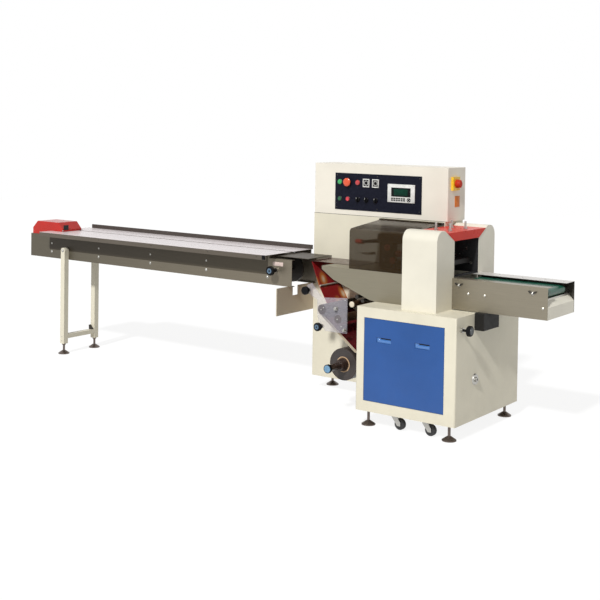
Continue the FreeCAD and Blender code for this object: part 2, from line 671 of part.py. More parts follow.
def foot(name, x, y, top):
    """A levelling foot: coned disc, lock nut and threaded stem."""
    return turned(name, "Z", x, y, "0",
                  [("0", "0"), ("0", "foot_radius"), ("foot_rim", "foot_radius"),
                   ("foot_height", "foot_neck"), ("foot_height", "stem_radius"),
                   (top + " - nut_height", "stem_radius"), (top + " - nut_height", "nut_radius"),
                   (top, "nut_radius"), (top, "0")])


def feet():
    places = [("foot_x", "foot_y"), ("foot_left_x", "foot_y"), ("foot_x", REAR_FOOT),
              ("foot_far_x", REAR_FOOT)]
    cabinet = [foot("foot_%d" % i, x_at(x), y_at(y), "cabinet_base")
               for i, (x, y) in enumerate(places)]
    middles = ("frame_y - leg_width / 2", "frame_rear_y + leg_width / 2")
    stand = [foot("stand_foot_%d" % i, x_at("stand_x - leg_width / 2"), y_at(y), "leg_base")
             for i, y in enumerate(middles)]
    node(group("levelling_feet", cabinet + stand), "levelling_feet")


# ---------------------------------------------------------------- casters
def caster_places():
    return [("caster_x", "caster_y"), ("caster_x + caster_pitch", "caster_y"),
            ("caster_x", REAR_CASTER), ("caster_x + caster_pitch", REAR_CASTER)]


def casters():
    plates = []
    for i, (x, y) in enumerate(caster_places()):
        half = "caster_plate / 2"
        plate = block("caster_plate_%d" % i, x_at("%s + %s" % (x, half)), y_at("%s - %s" % (y, half)),
                      "cabinet_base - caster_plate_height", "caster_plate", "caster_plate",
                      "caster_plate_height")
        pin_base = "fork_top - fork_plate - cheek_gap"
        pin = rod("king_pin_%d" % i, "Z", x_at(x), y_at(y), pin_base, "pin_radius",
                  "cabinet_base - caster_plate_height - (%s)" % pin_base)
        head = rod("king_head_%d" % i, "Z", x_at(x), y_at(y), pin_base + " - cheek", "pin_head",
                   "cheek")
        plates.append(fuse("caster_top_%d" % i, [plate, pin, head]))
        fork(i + 1, x, y)
        caster_wheel(i + 1, x, y)
    node(group("caster_plates", plates), "caster_plates")


def fork(number, x, y):
    name = "caster_fork_%d" % number
    body = body_at(name, x_at(x), y_at(y), "0")
    half = "(wheel_width / 2 + cheek_gap)"
    side = sketch_on(body, "XZ")
    under = "fork_top - fork_plate"
    outline(side, [("-fork_radius + cheek", under),
                   ("trail - 2 * axle_radius", "wheel_level - 2 * axle_radius"),
                   ("trail + 2 * axle_radius", "wheel_level - 2 * axle_radius"),
                   ("trail + 2 * axle_radius", "wheel_level + 2 * axle_radius"),
                   ("fork_radius - cheek", under)])
    pad(body, side, "2 * %s + 2 * cheek" % half, middle=True)
    gap = sketch_on(body, "YZ")
    outline(gap, [("-" + half, "0"), (half, "0"), (half, under), ("-" + half, under)])
    pocket(body, gap, "4 * (trail + wheel_radius)", middle=True)
    axle = sketch_on(body, "XZ")
    ring(axle, "trail", "wheel_level", "axle_radius")
    pad(body, axle, "2 * %s + 2 * cheek" % half, middle=True)
    crown = sketch_on(body, "XY")
    crown.AttachmentOffset = FreeCAD.Placement(FreeCAD.Vector(0, 0, 1), FreeCAD.Rotation())
    bind(crown, "AttachmentOffset.Base.z", under)
    ring(crown, "0", "0", "fork_radius")
    ring(crown, "0", "0", "pin_radius + running")
    pad(body, crown, "fork_plate")
    return node(body, name)


def caster_wheel(number, x, y):
    name = "caster_wheel_%d" % number
    half = "wheel_width / 2"
    wheel = turned(name, "Y", x_at(x + " - trail"), y_at(y), "wheel_level",
                   [("-" + half, "axle_radius + running"), ("-" + half, "wheel_radius - cheek"),
                    ("-%s + cheek" % half, "wheel_radius"), (half + " - cheek", "wheel_radius"),
                    (half, "wheel_radius - cheek"), (half, "axle_radius + running")])
    return node(wheel, name)


# ---------------------------------------------------------------- bracket, former and film
def infeed_bracket():
    """The upright plate on the column's side that the infeed frame stands on."""
    height = "frame_base - bracket_base"
    notch_end = "notch_y + notch_width - bracket_y"
    body = along_x("infeed_bracket", x_at("column_x + bracket_thickness"), y_at("bracket_y"),
                   "bracket_base",
                   [("0", "0"), ("bracket_rear_y - bracket_y", "0"),
                    ("bracket_rear_y - bracket_y", height), (notch_end, height),
                    (notch_end, height + " - notch_depth"),
                    ("notch_y - bracket_y", height + " - notch_depth"),
                    ("notch_y - bracket_y", height), ("0", height)], "bracket_thickness")
    return node(body, "infeed_bracket")


def strip(name, start, y, end, width):
    """A flat run of film, seen from the front as a thin slanted band from start to end."""
    (x1, z1), (x2, z2) = start, end
    run = "%s - %s" % (x1, x2)
    rise = "%s - (%s)" % (z2, z1)
    return along_y(name, x_at(x1), y, z1,
                   [("0", "0"), ("film_section", "0"), (run + " + film_section", rise), (run, rise)],
                   width)


def film_former():
    """The bridge from the infeed, the slanted former and its rounded lower lip."""
    bridge = block("bridge_plate", x_at("bridge_x"), y_at("bridge_y"), "bridge_level",
                   "bridge_x - bridge_end_x", "column_y - bridge_y", "plate")
    lip = rod("former_lip_bar", "Y", x_at("former_lip_x - lip_radius - 2 * film"), y_at("former_y"),
              "former_lip", "lip_radius", "column_y - former_y")
    return node(group("film_former", [bridge, lip]), "film_former")


def film_web():
    """The film: up from the reel, round the first roller, over the former and onto the table."""
    width = "column_y - former_y"
    top = ("former_top_x", "former_top")
    lip = ("former_lip_x", "former_lip")
    bend = ("web_bend_x", "web_bend")
    last = ("web_end_x", "web_end")
    flat = block("film_flat", x_at("former_top_x"), y_at("former_y"), "table_top",
                 "former_top_x - film_end_x", width + " - 4 * film", "film")
    runs = [strip("film_rise", lip, y_at("former_y"), top, width),
            strip("film_bend", bend, y_at("former_y"), lip, width),
            strip("film_run", last, y_at(WEB_Y), bend, "column_y - " + WEB_Y)]
    return node(fuse("film_web", [flat] + runs), "film_web")


def film_rollers():
    rollers = []
    for tag in "abc":
        size = "roller_%s" % tag
        rollers.append(rod(size, "Y", x_at(size + "_x"), y_at("plate_y + roller_plate"),
                           size + "_level", size + "_radius", "column_y - plate_y - roller_plate"))
    return node(group("film_rollers", rollers), "film_rollers")


def roller_plate():
    """The clear plate in front of the film rollers, with an arm for the upper knob."""
    left = "upper_knob_x + arm_width / 2"

    def corner(x, z):
        return ("%s - (%s)" % (left, x), z)
    body = along_y("roller_plate", x_at(left), y_at("plate_y"), "0",
                   [("0", "upper_knob_level + arm_rise - arm_width / 2"),
                    ("arm_width", "upper_knob_level + arm_rise"),
                    corner("plate_left_x - arm_width", "plate_top_left + arm_width / 2"),
                    corner("plate_right_x", "plate_top"), corner("plate_right_x", "plate_base"),
                    corner("plate_foot_x", "plate_base"), corner("plate_waist_x", "plate_waist"),
                    corner("plate_left_x", "plate_cheek"),
                    corner("plate_left_x", "plate_top_left"),
                    ("0", "upper_knob_level - arm_width / 2")],
                   "roller_plate")
    return node(body, "roller_plate")


def film_reel():
    """The reel turns as one: shaft with its clamping cone, film roll, and the cap at the end."""
    start = "reel_y - cone_depth - shaft_tip_y"
    shaft = turned("reel_shaft", "Y", x_at("reel_x"), y_at("shaft_tip_y"), "reel_level",
                   [("0", "0"), ("0", "reel_shaft_radius"), (start, "reel_shaft_radius"),
                    (start, "reel_shaft_radius + cone_step"),
                    ("reel_y - shaft_tip_y", "core_radius"),
                    ("reel_y - shaft_tip_y", "reel_shaft_radius"),
                    ("column_y - shaft_tip_y - seat", "reel_shaft_radius"),
                    ("column_y - shaft_tip_y - seat", "0")])
    node(shaft, "reel_shaft")
    roll = turned("film_roll", "Y", x_at("reel_x"), y_at("reel_y"), "reel_level",
                  [("0", "reel_shaft_radius"), ("0", "reel_radius"),
                   ("reel_width", "reel_radius"), ("reel_width", "reel_shaft_radius")])
    node(roll, "film_roll")
    cap = turned("reel_cap", "Y", x_at("reel_x"), y_at("shaft_tip_y - cap_depth"), "reel_level",
                 [("0", "0"), ("0", "cap_radius - bezel"), ("bezel", "cap_radius"),
                  ("cap_depth", "cap_radius"), ("cap_depth", "0")])
    node(cap, "reel_cap")


def boss(name, axis, place_at, radius, wall, depth):
    """A bearing ring round a spindle that runs into the plate behind it."""
    outer = rod(name + "_ring", axis, *place_at, "%s + %s" % (radius, wall), depth)
    bore = rod(name + "_bore", axis, *place_at, radius + " + running", depth)
    return cut(name, outer, bore)


def bearing_bosses():
    small = ("spindle_radius", "boss_wall", "boss_depth")
    rings = [
        boss("reel_boss", "Y", (x_at("reel_x"), y_at("column_y - reel_boss"), "reel_level"),
             "reel_shaft_radius", "reel_boss", "reel_boss"),
        boss("infeed_boss", "Y", (x_at("infeed_knob_x"), y_at("frame_y - boss_depth"),
                                  "infeed_knob_level"), *small),
        boss("hand_boss", "X", (x_at("0"), y_at("wheel_y"), "hand_level"), *small),
    ]
    for tag in ("upper", "lower"):
        rings.append(boss(tag + "_boss", "Y", (x_at(tag + "_knob_x"),
                                               y_at("plate_y - boss_depth"),
                                               tag + "_knob_level"), *small))
    return node(group("bearing_bosses", rings), "bearing_bosses")


# ---------------------------------------------------------------- knobs
def knob_profile(radius, depth):
    """From the face that looks at the hand to the hub: dished face, rounded rim."""
    return [("0", "0"), ("0", radius + " - knob_edge"), ("knob_edge", radius),
            (depth + " - knob_back", radius), (depth, radius + " - knob_back"),
            (depth, "knob_hub_radius")]


def knob_y(name, x, y, z, radius, depth, reach):
    """A knob on a spindle that runs back to the plate behind it."""
    profile = knob_profile(radius, depth) + [
        (reach + " - 2 * spindle_radius", "knob_hub_radius"),
        (reach + " - 2 * spindle_radius", "spindle_radius"), (reach, "spindle_radius"),
        (reach, "0")]
    return node(turned(name, "Y", x, y, z, profile), name)


def knobs():
    knob_y("infeed_knob", x_at("infeed_knob_x"), y_at("infeed_knob_y"), "infeed_knob_level",
           "knob_radius", "knob_depth", "(frame_y - infeed_knob_y - seat)")
    for tag in ("upper", "lower"):
        start = "plate_y - small_knob_depth - knob_stand - 2 * spindle_radius"
        knob_y(tag + "_knob", x_at(tag + "_knob_x"), y_at(start), tag + "_knob_level",
               "small_knob_radius", "small_knob_depth", "(plate_y - (%s) - seat)" % start)
    wheel = turned("side_handwheel", "X", x_at("-seat"), y_at("wheel_y"), "hand_level",
                   [("0", "0"), ("0", "spindle_radius"),
                    ("hand_reach - knob_depth", "spindle_radius"),
                    ("hand_reach - knob_depth", "knob_radius - knob_back"),
                    ("hand_reach - knob_depth + knob_back", "knob_radius"),
                    ("hand_reach - knob_edge", "knob_radius"),
                    ("hand_reach", "knob_radius - knob_edge"),
                    ("hand_reach", "0")])
    node(wheel, "side_handwheel")
    socket = turned("crank_socket", "X", x_at("0"), y_at("socket_y"), "socket_level",
                    [("0", "0"), ("0", "socket_radius"), ("socket_depth", "socket_radius - knob_edge"),
                     ("socket_depth", "bushing_radius"), ("2 * socket_depth", "bushing_radius"),
                     ("2 * socket_depth", "spindle_radius"), ("socket_depth", "spindle_radius"),
                     ("socket_depth", "0")])
    node(socket, "crank_socket")


# ---------------------------------------------------------------- discharge conveyor
def conveyor_side(name, y, flange, mirrored):
    height = "side_top - side_base"
    corners = [("0", "0"), ("plate", "0"), ("plate", height + " - plate"),
               (flange, height + " - plate"), (flange, height), ("0", height)]
    if mirrored:
        corners = [("%s - (%s)" % (flange, across), up) for across, up in corners]
    body = along_x(name, x_at("seal_end_x"), y, "side_base", corners,
                   "seal_end_x + conveyor_end_x")
    return node(body, name)


def discharge_conveyor():
    conveyor_side("discharge_side_front", y_at("side_y"), "side_flange", False)
    conveyor_side("discharge_side_rear", y_at("side_rear_y - rear_flange"), "rear_flange", True)
    start, end = "-(belt_end_x - belt_radius)", "belt_start_x - belt_radius"
    width = "belt_rear_y - belt_y"
    length = "(%s) - (%s)" % (end, start)

    def loop(name, radius):
        middle = block(name + "_mid", x_at(end), y_at("belt_y"), "belt_level - (%s)" % radius,
                       length, width, "2 * (%s)" % radius)
        ends = [rod(name + "_end_%d" % i, "Y", x_at(x), y_at("belt_y"), "belt_level", radius, width)
                for i, x in enumerate((start, end))]
        return fuse(name, [middle] + ends)
    node(cut("discharge_belt", loop("belt_outer", "belt_radius"),
             loop("belt_inner", "belt_radius - belt")), "discharge_belt")
    rollers = []
    for name, x in (("discharge_end_roller", start), ("discharge_drive_roller", end)):
        drum = rod(name + "_drum", "Y", x_at(x), y_at("belt_y"), "belt_level",
                   "belt_radius - belt", width)
        axle = rod(name + "_axle", "Y", x_at(x), y_at("side_y + plate"), "belt_level",
                   "spindle_radius", "side_rear_y - side_y - 2 * plate")
        rollers.append(fuse(name, [drum, axle]))
    node(group("discharge_rollers", rollers), "discharge_rollers")
    nose = along_y("discharge_nose", x_at("-conveyor_end_x + nose_run + plate"),
                   y_at("side_y + plate"), "side_base",
                   [("0", "nose_top - side_base"), ("nose_run", "nose_face - side_base"),
                    ("nose_run", "0"), ("nose_run + plate", "0"),
                    ("nose_run + plate", "nose_face - side_base"),
                    ("0", "nose_top - side_base + plate")],
                   "side_rear_y - side_y - 2 * plate")
    node(nose, "discharge_nose")
    drive = block("drive_box", x_at("0"), y_at("drive_y"), "drive_base", "drive_reach",
                  "drive_rear_y - drive_y", "side_base - drive_base")
    node(drive, "drive_box")


# ---------------------------------------------------------------- the machine
lower_cabinet()
blue_panel()
rear_body()
control_box()
control_panel()
panel_items()
main_switch()
pier("pier_front", "tunnel_y", "(tunnel_y - pier_y)", -1)
pier("pier_rear", "tunnel_rear_y", "(pier_rear_y - tunnel_rear_y)", 1)
jaw("lower_jaw", LOWER_JAW)
jaw("upper_jaw", UPPER_JAW)
red_hood()
hood_studs()
table_housing()
acrylic_cover()
cover_hinge()
infeed_frame()
infeed_chain()
tail_cover()
infeed_stand()
feet()
casters()
infeed_bracket()
film_former()
film_web()
film_rollers()
roller_plate()
film_reel()
bearing_bosses()
knobs()
discharge_conveyor()
doc.recompute()

# ---------------------------------------------------------------- checks and export
for obj in doc.Objects:
    if "Invalid" in obj.State or "Error" in obj.State:
        raise RuntimeError("%s is in state %s" % (obj.Label, obj.State))
for piece in pieces:
    if piece.Shape.isNull() or not piece.Shape.isValid() or not piece.Shape.Solids:
        raise RuntimeError(piece.Label + " has no valid solid")
    piece.Shape.exportStep(os.path.join("parts", piece.Label + ".step"))
print(len(pieces), "pieces")
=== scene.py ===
"""Looks of the horizontal flow wrapper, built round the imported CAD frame. Metres, +Z up."""
import math

import bmesh
import bpy
from mathutils import Matrix, Vector


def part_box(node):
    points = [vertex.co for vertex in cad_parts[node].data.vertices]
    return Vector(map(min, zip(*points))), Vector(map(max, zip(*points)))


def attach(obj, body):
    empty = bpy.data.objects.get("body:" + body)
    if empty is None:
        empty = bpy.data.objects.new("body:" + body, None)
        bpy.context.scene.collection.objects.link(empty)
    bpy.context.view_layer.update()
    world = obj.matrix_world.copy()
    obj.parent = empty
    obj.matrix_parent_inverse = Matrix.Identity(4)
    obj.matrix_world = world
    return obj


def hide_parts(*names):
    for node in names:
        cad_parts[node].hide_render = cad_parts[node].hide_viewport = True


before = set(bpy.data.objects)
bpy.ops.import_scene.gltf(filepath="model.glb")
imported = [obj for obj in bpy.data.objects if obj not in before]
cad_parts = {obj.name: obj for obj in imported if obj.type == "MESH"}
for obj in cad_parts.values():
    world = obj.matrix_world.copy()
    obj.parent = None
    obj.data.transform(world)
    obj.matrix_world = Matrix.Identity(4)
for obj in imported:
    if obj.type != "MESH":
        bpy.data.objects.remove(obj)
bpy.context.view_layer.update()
MM = 0.001

# ---------------------------------------------------------------- places, all from the CAD boxes
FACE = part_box("lower_cabinet")[1][0]
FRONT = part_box("lower_cabinet")[0][1]


def low(node):
    """The lower corner of a CAD node's box."""
    return Vector(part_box(node)[0])


def high(node):
    """The upper corner of a CAD node's box."""
    return Vector(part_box(node)[1])


def at(x, y, z):
    """A point from the cabinet's discharge face, its front face and the floor, in millimetres."""
    return Vector((FACE - x * MM, FRONT + y * MM, z * MM))


def on(face_y, x, z):
    """A point on an upright face at face_y metres, its x and z in millimetres as in at()."""
    spot = at(x, 0, z)
    return Vector((spot.x, face_y, spot.z))


def front_of(node):
    """The middle of the front of a node's CAD box."""
    lo, hi = low(node), high(node)
    return Vector(((lo.x + hi.x) / 2, lo.y, (lo.z + hi.z) / 2))


def end_of(node):
    """The middle of the discharge end of a node's CAD box."""
    lo, hi = low(node), high(node)
    return Vector((hi.x, (lo.y + hi.y) / 2, (lo.z + hi.z) / 2))


# Levels in metres at which a look changes or the tunnel's black shade sheets start and end.
SHADE_BAND_BOTTOM = 0.745
BRIDGE_LEVEL = 0.8
TUNNEL_SHADE = 0.840
TUNNEL_FLOOR, TUNNEL_TOP = 0.8535, 1.052
LOWER_ROLLER, FORMER_LIP = 0.556, 0.700
# Where the painted shade band under the table's lip starts and ends on the side plates, in
# millimetres from the discharge face.
SHADE_BAND_START, SHADE_BAND_END = 3525, 1490

# ---------------------------------------------------------------- materials
class Look:
    """A procedural material under construction. Textures run in metres of the object."""
    COLOUR_A, COLOUR_B, COLOUR_OUT = 6, 7, 2  # the mix node's colour sockets

    def __init__(self, name, **sockets):
        self.mat = bpy.data.materials.new(name)
        self.mat.use_nodes = True
        self.tree = self.mat.node_tree
        self.bsdf = self.tree.nodes["Principled BSDF"]
        self.place = self.node("ShaderNodeTexCoord").outputs["Object"]
        for key, value in sockets.items():
            self.bsdf.inputs[key.replace("_", " ")].default_value = value

    def node(self, kind, **settings):
        made = self.tree.nodes.new(kind)
        for key, value in settings.items():
            setattr(made, key, value)
        return made

    def feed(self, socket, value):
        """Links another node's socket, or sets a constant."""
        if isinstance(value, bpy.types.NodeSocket):
            self.tree.links.new(value, socket)
        else:
            socket.default_value = value

    def math(self, operation, a, b=0.0):
        made = self.node("ShaderNodeMath", operation=operation)
        self.feed(made.inputs[0], a)
        self.feed(made.inputs[1], b)
        return made.outputs[0]

    def noise(self, scale, detail=3.0, stretch=(1, 1, 1), rough=0.55):
        spread = self.node("ShaderNodeMapping")
        spread.inputs["Scale"].default_value = stretch
        self.feed(spread.inputs["Vector"], self.place)
        made = self.node("ShaderNodeTexNoise")
        self.feed(made.inputs["Vector"], spread.outputs[0])
        made.inputs["Scale"].default_value = scale
        made.inputs["Detail"].default_value = detail
        made.inputs["Roughness"].default_value = rough
        return made.outputs["Fac"]

    def spread(self, value, low_end, high_end, start=0.3, end=0.7):
        """Takes start..end to low_end..high_end and holds the ends."""
        made = self.node("ShaderNodeMapRange")
        self.feed(made.inputs["Value"], value)
        for key, number in (("From Min", start), ("From Max", end), ("To Min", low_end),
                            ("To Max", high_end)):
            made.inputs[key].default_value = number
        return made.outputs["Result"]

    def mix(self, share, a, b):
        made = self.node("ShaderNodeMix", data_type="RGBA")
        self.feed(made.inputs["Factor"], share)
        self.feed(made.inputs[self.COLOUR_A], a)
        self.feed(made.inputs[self.COLOUR_B], b)
        return made.outputs[self.COLOUR_OUT]

    def axis(self, letter):
        made = self.node("ShaderNodeSeparateXYZ")
        self.feed(made.inputs[0], self.place)
        return made.outputs["XYZ".index(letter)]

    def bump(self, height, strength, distance):
        made = self.node("ShaderNodeBump")
        made.inputs["Strength"].default_value = strength
        made.inputs["Distance"].default_value = distance
        self.feed(made.inputs["Height"], height)
        self.feed(self.bsdf.inputs["Normal"], made.outputs[0])

    def colour(self, value):
        self.feed(self.bsdf.inputs["Base Color"], value)

    def roughness(self, value):
        self.feed(self.bsdf.inputs["Roughness"], value)


def rgb(colour, factor=1.0):
    """A colour as a socket takes it, lighter or darker by a factor."""
    return tuple(min(1.0, channel * factor) for channel in colour) + (1.0,)


def painted(name, colour, rough=0.4, blotch=0.05, grain=700, peel=0.12, dirt=(0.35, 0.3, 0.22),
            soil=0.0, **sockets):
    """Powder-coated sheet: slight clouding, fine orange peel, a trace of dust low down."""
    look = Look(name, **sockets)
    clouds = look.noise(4, 5)
    shade = look.mix(look.spread(clouds, 0, 1), rgb(colour, 1 - blotch), rgb(colour, 1 + blotch))
    if soil:
        depth = look.spread(look.axis("Z"), soil, 0.0, 0.02, 0.5)
        shade = look.mix(look.math("MULTIPLY", depth, look.noise(22, 6)), shade, rgb(dirt))
    look.colour(shade)
    look.roughness(look.spread(look.noise(35, 4), rough - 0.06, rough + 0.08))
    look.bump(look.noise(grain, 2), peel, 0.0006)
    return look.mat


def brushed(name, colour, along=(1.5, 260, 260), rough=0.36, metal=0.75, contrast=0.10, **sockets):
    """Brushed sheet: long fine lines along one axis, with soft cloudy reflections."""
    look = Look(name, Metallic=metal, **sockets)
    lines = look.noise(6, 4, along)
    clouds = look.noise(3, 4)
    tone = look.mix(look.spread(lines, 0, 1), rgb(colour, 1 - contrast), rgb(colour, 1 + contrast))
    look.colour(look.mix(look.spread(clouds, 0, 0.3), tone, rgb(colour, 0.75)))
    look.roughness(look.spread(lines, rough - 0.07, rough + 0.1))
    look.bump(lines, 0.06, 0.0004)
    return look.mat


def moulded(name, colour, rough=0.35, grain=1200, peel=0.1, blotch=0.08, **sockets):
    """Moulded plastic or rubber: fine grain, slight wear to a paler tone."""
    look = Look(name, **sockets)
    wear = look.spread(look.noise(60, 6), 0, 1, 0.35, 0.75)
    pale = tuple(min(1.0, channel * (1 + 2 * blotch) + 0.003) for channel in colour)
    look.colour(look.mix(wear, rgb(colour, 1 - blotch), rgb(pale)))
    look.roughness(look.spread(look.noise(90, 4), rough - 0.07, rough + 0.12))
    look.bump(look.noise(grain, 2), peel, 0.0004)
    return look.mat


CREAM = (0.75, 0.705, 0.567)
WHITE = (0.765, 0.73, 0.62)
STEEL = (0.285, 0.255, 0.195)

cream = painted("cream_paint", CREAM, soil=0.25)
cream_box = painted("cream_box_paint", (0.82, 0.775, 0.675), rough=0.45)
pier_paint = painted("pier_paint", WHITE, rough=0.36)
blue = painted("blue_paint", (0.024, 0.090, 0.30), rough=0.34, blotch=0.08, soil=0.05,
               Specular_IOR_Level=0.3)
pull_blue = painted("pull_blue", (0.06, 0.19, 0.50), rough=0.16, blotch=0.06, peel=0.03,
                    Coat_Weight=0.6)
red = painted("red_paint", (0.70, 0.042, 0.026), rough=0.3, blotch=0.08, peel=0.05,
              Specular_IOR_Level=0.1)
tail_red = painted("tail_red_paint", (0.45, 0.019, 0.012), rough=0.22, blotch=0.12, peel=0.03,
                   Specular_IOR_Level=0.3)
drive_dark = painted("drive_paint", (0.013, 0.012, 0.011), rough=0.55, Specular_IOR_Level=0.2)
steel = brushed("stainless", STEEL)
steel_light = brushed("stainless_flange", (0.50, 0.48, 0.43), rough=0.3)
zinc = brushed("zinc", (0.47, 0.46, 0.43), along=(60, 60, 60), rough=0.3, metal=0.9)
foot_steel = brushed("foot_steel", (0.15, 0.12, 0.105), along=(40, 40, 40), rough=0.32, metal=0.85)
bracket_steel = brushed("bracket_steel", (0.56, 0.49, 0.375), rough=0.45, metal=0.2)
jaw_steel = brushed("jaw_steel", (0.018, 0.016, 0.015), along=(30, 30, 30), rough=0.5, metal=0.2,
                    Specular_IOR_Level=0.2)
dark_metal = brushed("dark_metal", (0.045, 0.041, 0.037), along=(30, 30, 30), rough=0.45,
                     metal=0.6)
chain_metal = brushed("chain_steel", (0.06, 0.055, 0.05), along=(90, 40, 90), rough=0.42,
                      metal=0.7)
rubber = moulded("caster_rubber", (0.018, 0.018, 0.019), rough=0.6)
rail_plastic = moulded("rail_plastic", (0.045, 0.034, 0.028), rough=0.5)
black = moulded("black_plastic", (0.004, 0.004, 0.005), rough=0.25, peel=0.05,
                Specular_IOR_Level=0.12)
black_matte = moulded("black_matte", (0.006, 0.006, 0.007), rough=0.7, peel=0.2)
cap_dark = moulded("cap_dark", (0.026, 0.036, 0.040), rough=0.3)
cap_blue = moulded("cap_blue_grey", (0.085, 0.15, 0.225), rough=0.25)
reel_blue = moulded("reel_cap_blue", (0.15, 0.30, 0.46), rough=0.28)
yellow = moulded("yellow_plastic", (0.83, 0.52, 0.02), rough=0.32)
switch_red = moulded("switch_red", (0.46, 0.028, 0.007), rough=0.4, Specular_IOR_Level=0.2)
orange = moulded("orange_plate", (0.70, 0.19, 0.016), rough=0.4, Specular_IOR_Level=0.2)
navy = moulded("navy_plate", (0.0055, 0.0065, 0.015), rough=0.45, blotch=0.12,
               Specular_IOR_Level=0.1)
green_lamp = moulded("green_lamp", (0.02, 0.36, 0.09), rough=0.15, Coat_Weight=0.6)
green_dark = moulded("green_button", (0.02, 0.11, 0.045), rough=0.25)
red_lamp = moulded("red_lamp", (0.50, 0.025, 0.03), rough=0.18, Coat_Weight=0.6)
mushroom_red = moulded("mushroom_red", (0.74, 0.085, 0.02), rough=0.25, Coat_Weight=0.4)
pink_red = moulded("button_red", (0.62, 0.05, 0.07), rough=0.25)
frame_white = moulded("display_white", (0.72, 0.72, 0.69), rough=0.4)
lcd = moulded("display_green", (0.001, 0.034, 0.02), rough=0.3, blotch=0.2,
              Specular_IOR_Level=0.12)
pale_label = moulded("bare_plate", (0.70, 0.56, 0.51), rough=0.35)
brown_rubber = moulded("roller_rubber", (0.050, 0.024, 0.010), rough=0.5, Specular_IOR_Level=0.2)
cream_roller = moulded("roller_cream", (0.70, 0.62, 0.48), rough=0.4)
shaft_brown = moulded("dark_shaft", (0.034, 0.018, 0.013), rough=0.22)
core_card = moulded("core_card", (0.55, 0.37, 0.22), rough=0.7)
draw_red = moulded("draw_roller_red", (0.80, 0.10, 0.07), rough=0.4)


def table_top_look():
    """Polished table plates of one steel: a pale painted reflection where they face up, a
    brown-grey painted reflection on the folded edge.
    """
    look = Look("table_top", Metallic=0.05, Specular_IOR_Level=0.4)
    lines = look.noise(5, 4, (1.0, 180, 180))
    top = look.mix(look.spread(lines, 0, 1), rgb((0.70, 0.64, 0.65)), rgb((0.80, 0.74, 0.745)))
    # The brown-grey edge tone is a painted dark reflection and the pale top a painted reflection
    # of the sky, on the same plate.
    edge = look.mix(look.spread(lines, 0, 1), rgb((0.085, 0.070, 0.052)), rgb((0.12, 0.10, 0.078)))
    level = high("infeed_top").z - 0.0012
    look.colour(look.mix(look.math("GREATER_THAN", look.axis("Z"), level), edge, top))
    look.roughness(look.spread(lines, 0.24, 0.36))
    look.bump(lines, 0.04, 0.0003)
    return look.mat


def frame_look():
    """The infeed's side plates: a painted shade band along them, the table lip's shadow, brighter
    towards the machine.
    """
    look = Look("stainless_frame", Metallic=0.5)
    lines = look.noise(6, 4, (1.5, 260, 260))
    along, height = look.axis("X"), look.axis("Z")
    near = look.spread(along, 0, 1, at(3500, 0, 0).x, at(1500, 0, 0).x)
    plain = look.mix(near, rgb((0.125, 0.11, 0.08)), rgb((0.225, 0.195, 0.145)))
    # The darker channel tone is painted shade: the shadow of the table's overhanging lip on the
    # plates.
    channel = look.mix(near, rgb((0.042, 0.033, 0.022)), rgb((0.085, 0.070, 0.047)))
    inside = look.math("GREATER_THAN", height, SHADE_BAND_BOTTOM)
    for side, station in (("GREATER_THAN", SHADE_BAND_START), ("LESS_THAN", SHADE_BAND_END)):
        inside = look.math("MULTIPLY", inside, look.math(side, along, at(station, 0, 0).x))
    tone = look.mix(inside, plain, channel)
    look.colour(look.mix(look.spread(lines, 0, 0.25), tone, rgb((0.02, 0.017, 0.012))))
    look.roughness(look.spread(lines, 0.33, 0.5))
    look.bump(lines, 0.06, 0.0004)
    return look.mat


def housing_look():
    """The forming table's housing: brushed, with painted shade where it runs inside the tunnel."""
    look = Look("stainless_housing", Metallic=0.75)
    lines = look.noise(6, 4, (1.2, 90, 320))
    tone = look.mix(look.spread(lines, 0, 1), rgb((0.24, 0.218, 0.162)), rgb((0.30, 0.272, 0.203)))
    tone = look.mix(look.spread(look.noise(3, 4), 0, 0.3), tone, rgb((0.206, 0.187, 0.139)))
    # Painted shade: nearly black where the housing runs inside the tunnel.
    shaded_in_tunnel = look.math("MULTIPLY", look.math("GREATER_THAN", look.axis("X"), low("pier_rear").x),
                       look.math("GREATER_THAN", look.axis("Z"), TUNNEL_SHADE))
    look.colour(look.mix(shaded_in_tunnel, tone, rgb((0.012, 0.011, 0.010))))
    look.roughness(look.spread(lines, 0.29, 0.46))
    look.bump(lines, 0.06, 0.0004)
    return look.mat


def rear_side_look():
    """The belt's rear side plate: a painted highlight on its top flange, painted shade on its
    inner face, plain outside.
    """
    look = Look("discharge_rear_steel", Metallic=0.4)
    lines = look.noise(6, 4, (1.5, 260, 260))
    hi = high("discharge_side_rear")
    # Painted shade on the inner face and a painted highlight on the top flange; the outer face
    # keeps the plain steel.
    outer = look.math("GREATER_THAN", look.axis("Y"), hi.y - 0.0015)
    lit_top_edge = look.math("GREATER_THAN", look.axis("Z"), hi.z - 0.0012)
    tone = look.mix(outer, rgb((0.045, 0.042, 0.035)), rgb(STEEL))
    tone = look.mix(lit_top_edge, tone, rgb((0.74, 0.72, 0.69)))
    look.colour(look.mix(look.spread(lines, 0, 0.2), tone, rgb((0.03, 0.027, 0.02))))
    look.roughness(look.spread(lines, 0.32, 0.48))
    look.bump(lines, 0.06, 0.0004)
    return look.mat


def belt_look():
    """Smooth green belt with a fine fabric back and scuffed lines along its travel."""
    look = Look("green_belt")
    scuffs = look.noise(7, 4, (1, 40, 40))
    look.colour(look.mix(look.spread(scuffs, 0, 1), rgb((0.006, 0.055, 0.034)),
                         rgb((0.012, 0.115, 0.07))))
    look.roughness(look.spread(scuffs, 0.22, 0.42))
    look.bump(look.noise(900, 2), 0.15, 0.0005)
    return look.mat


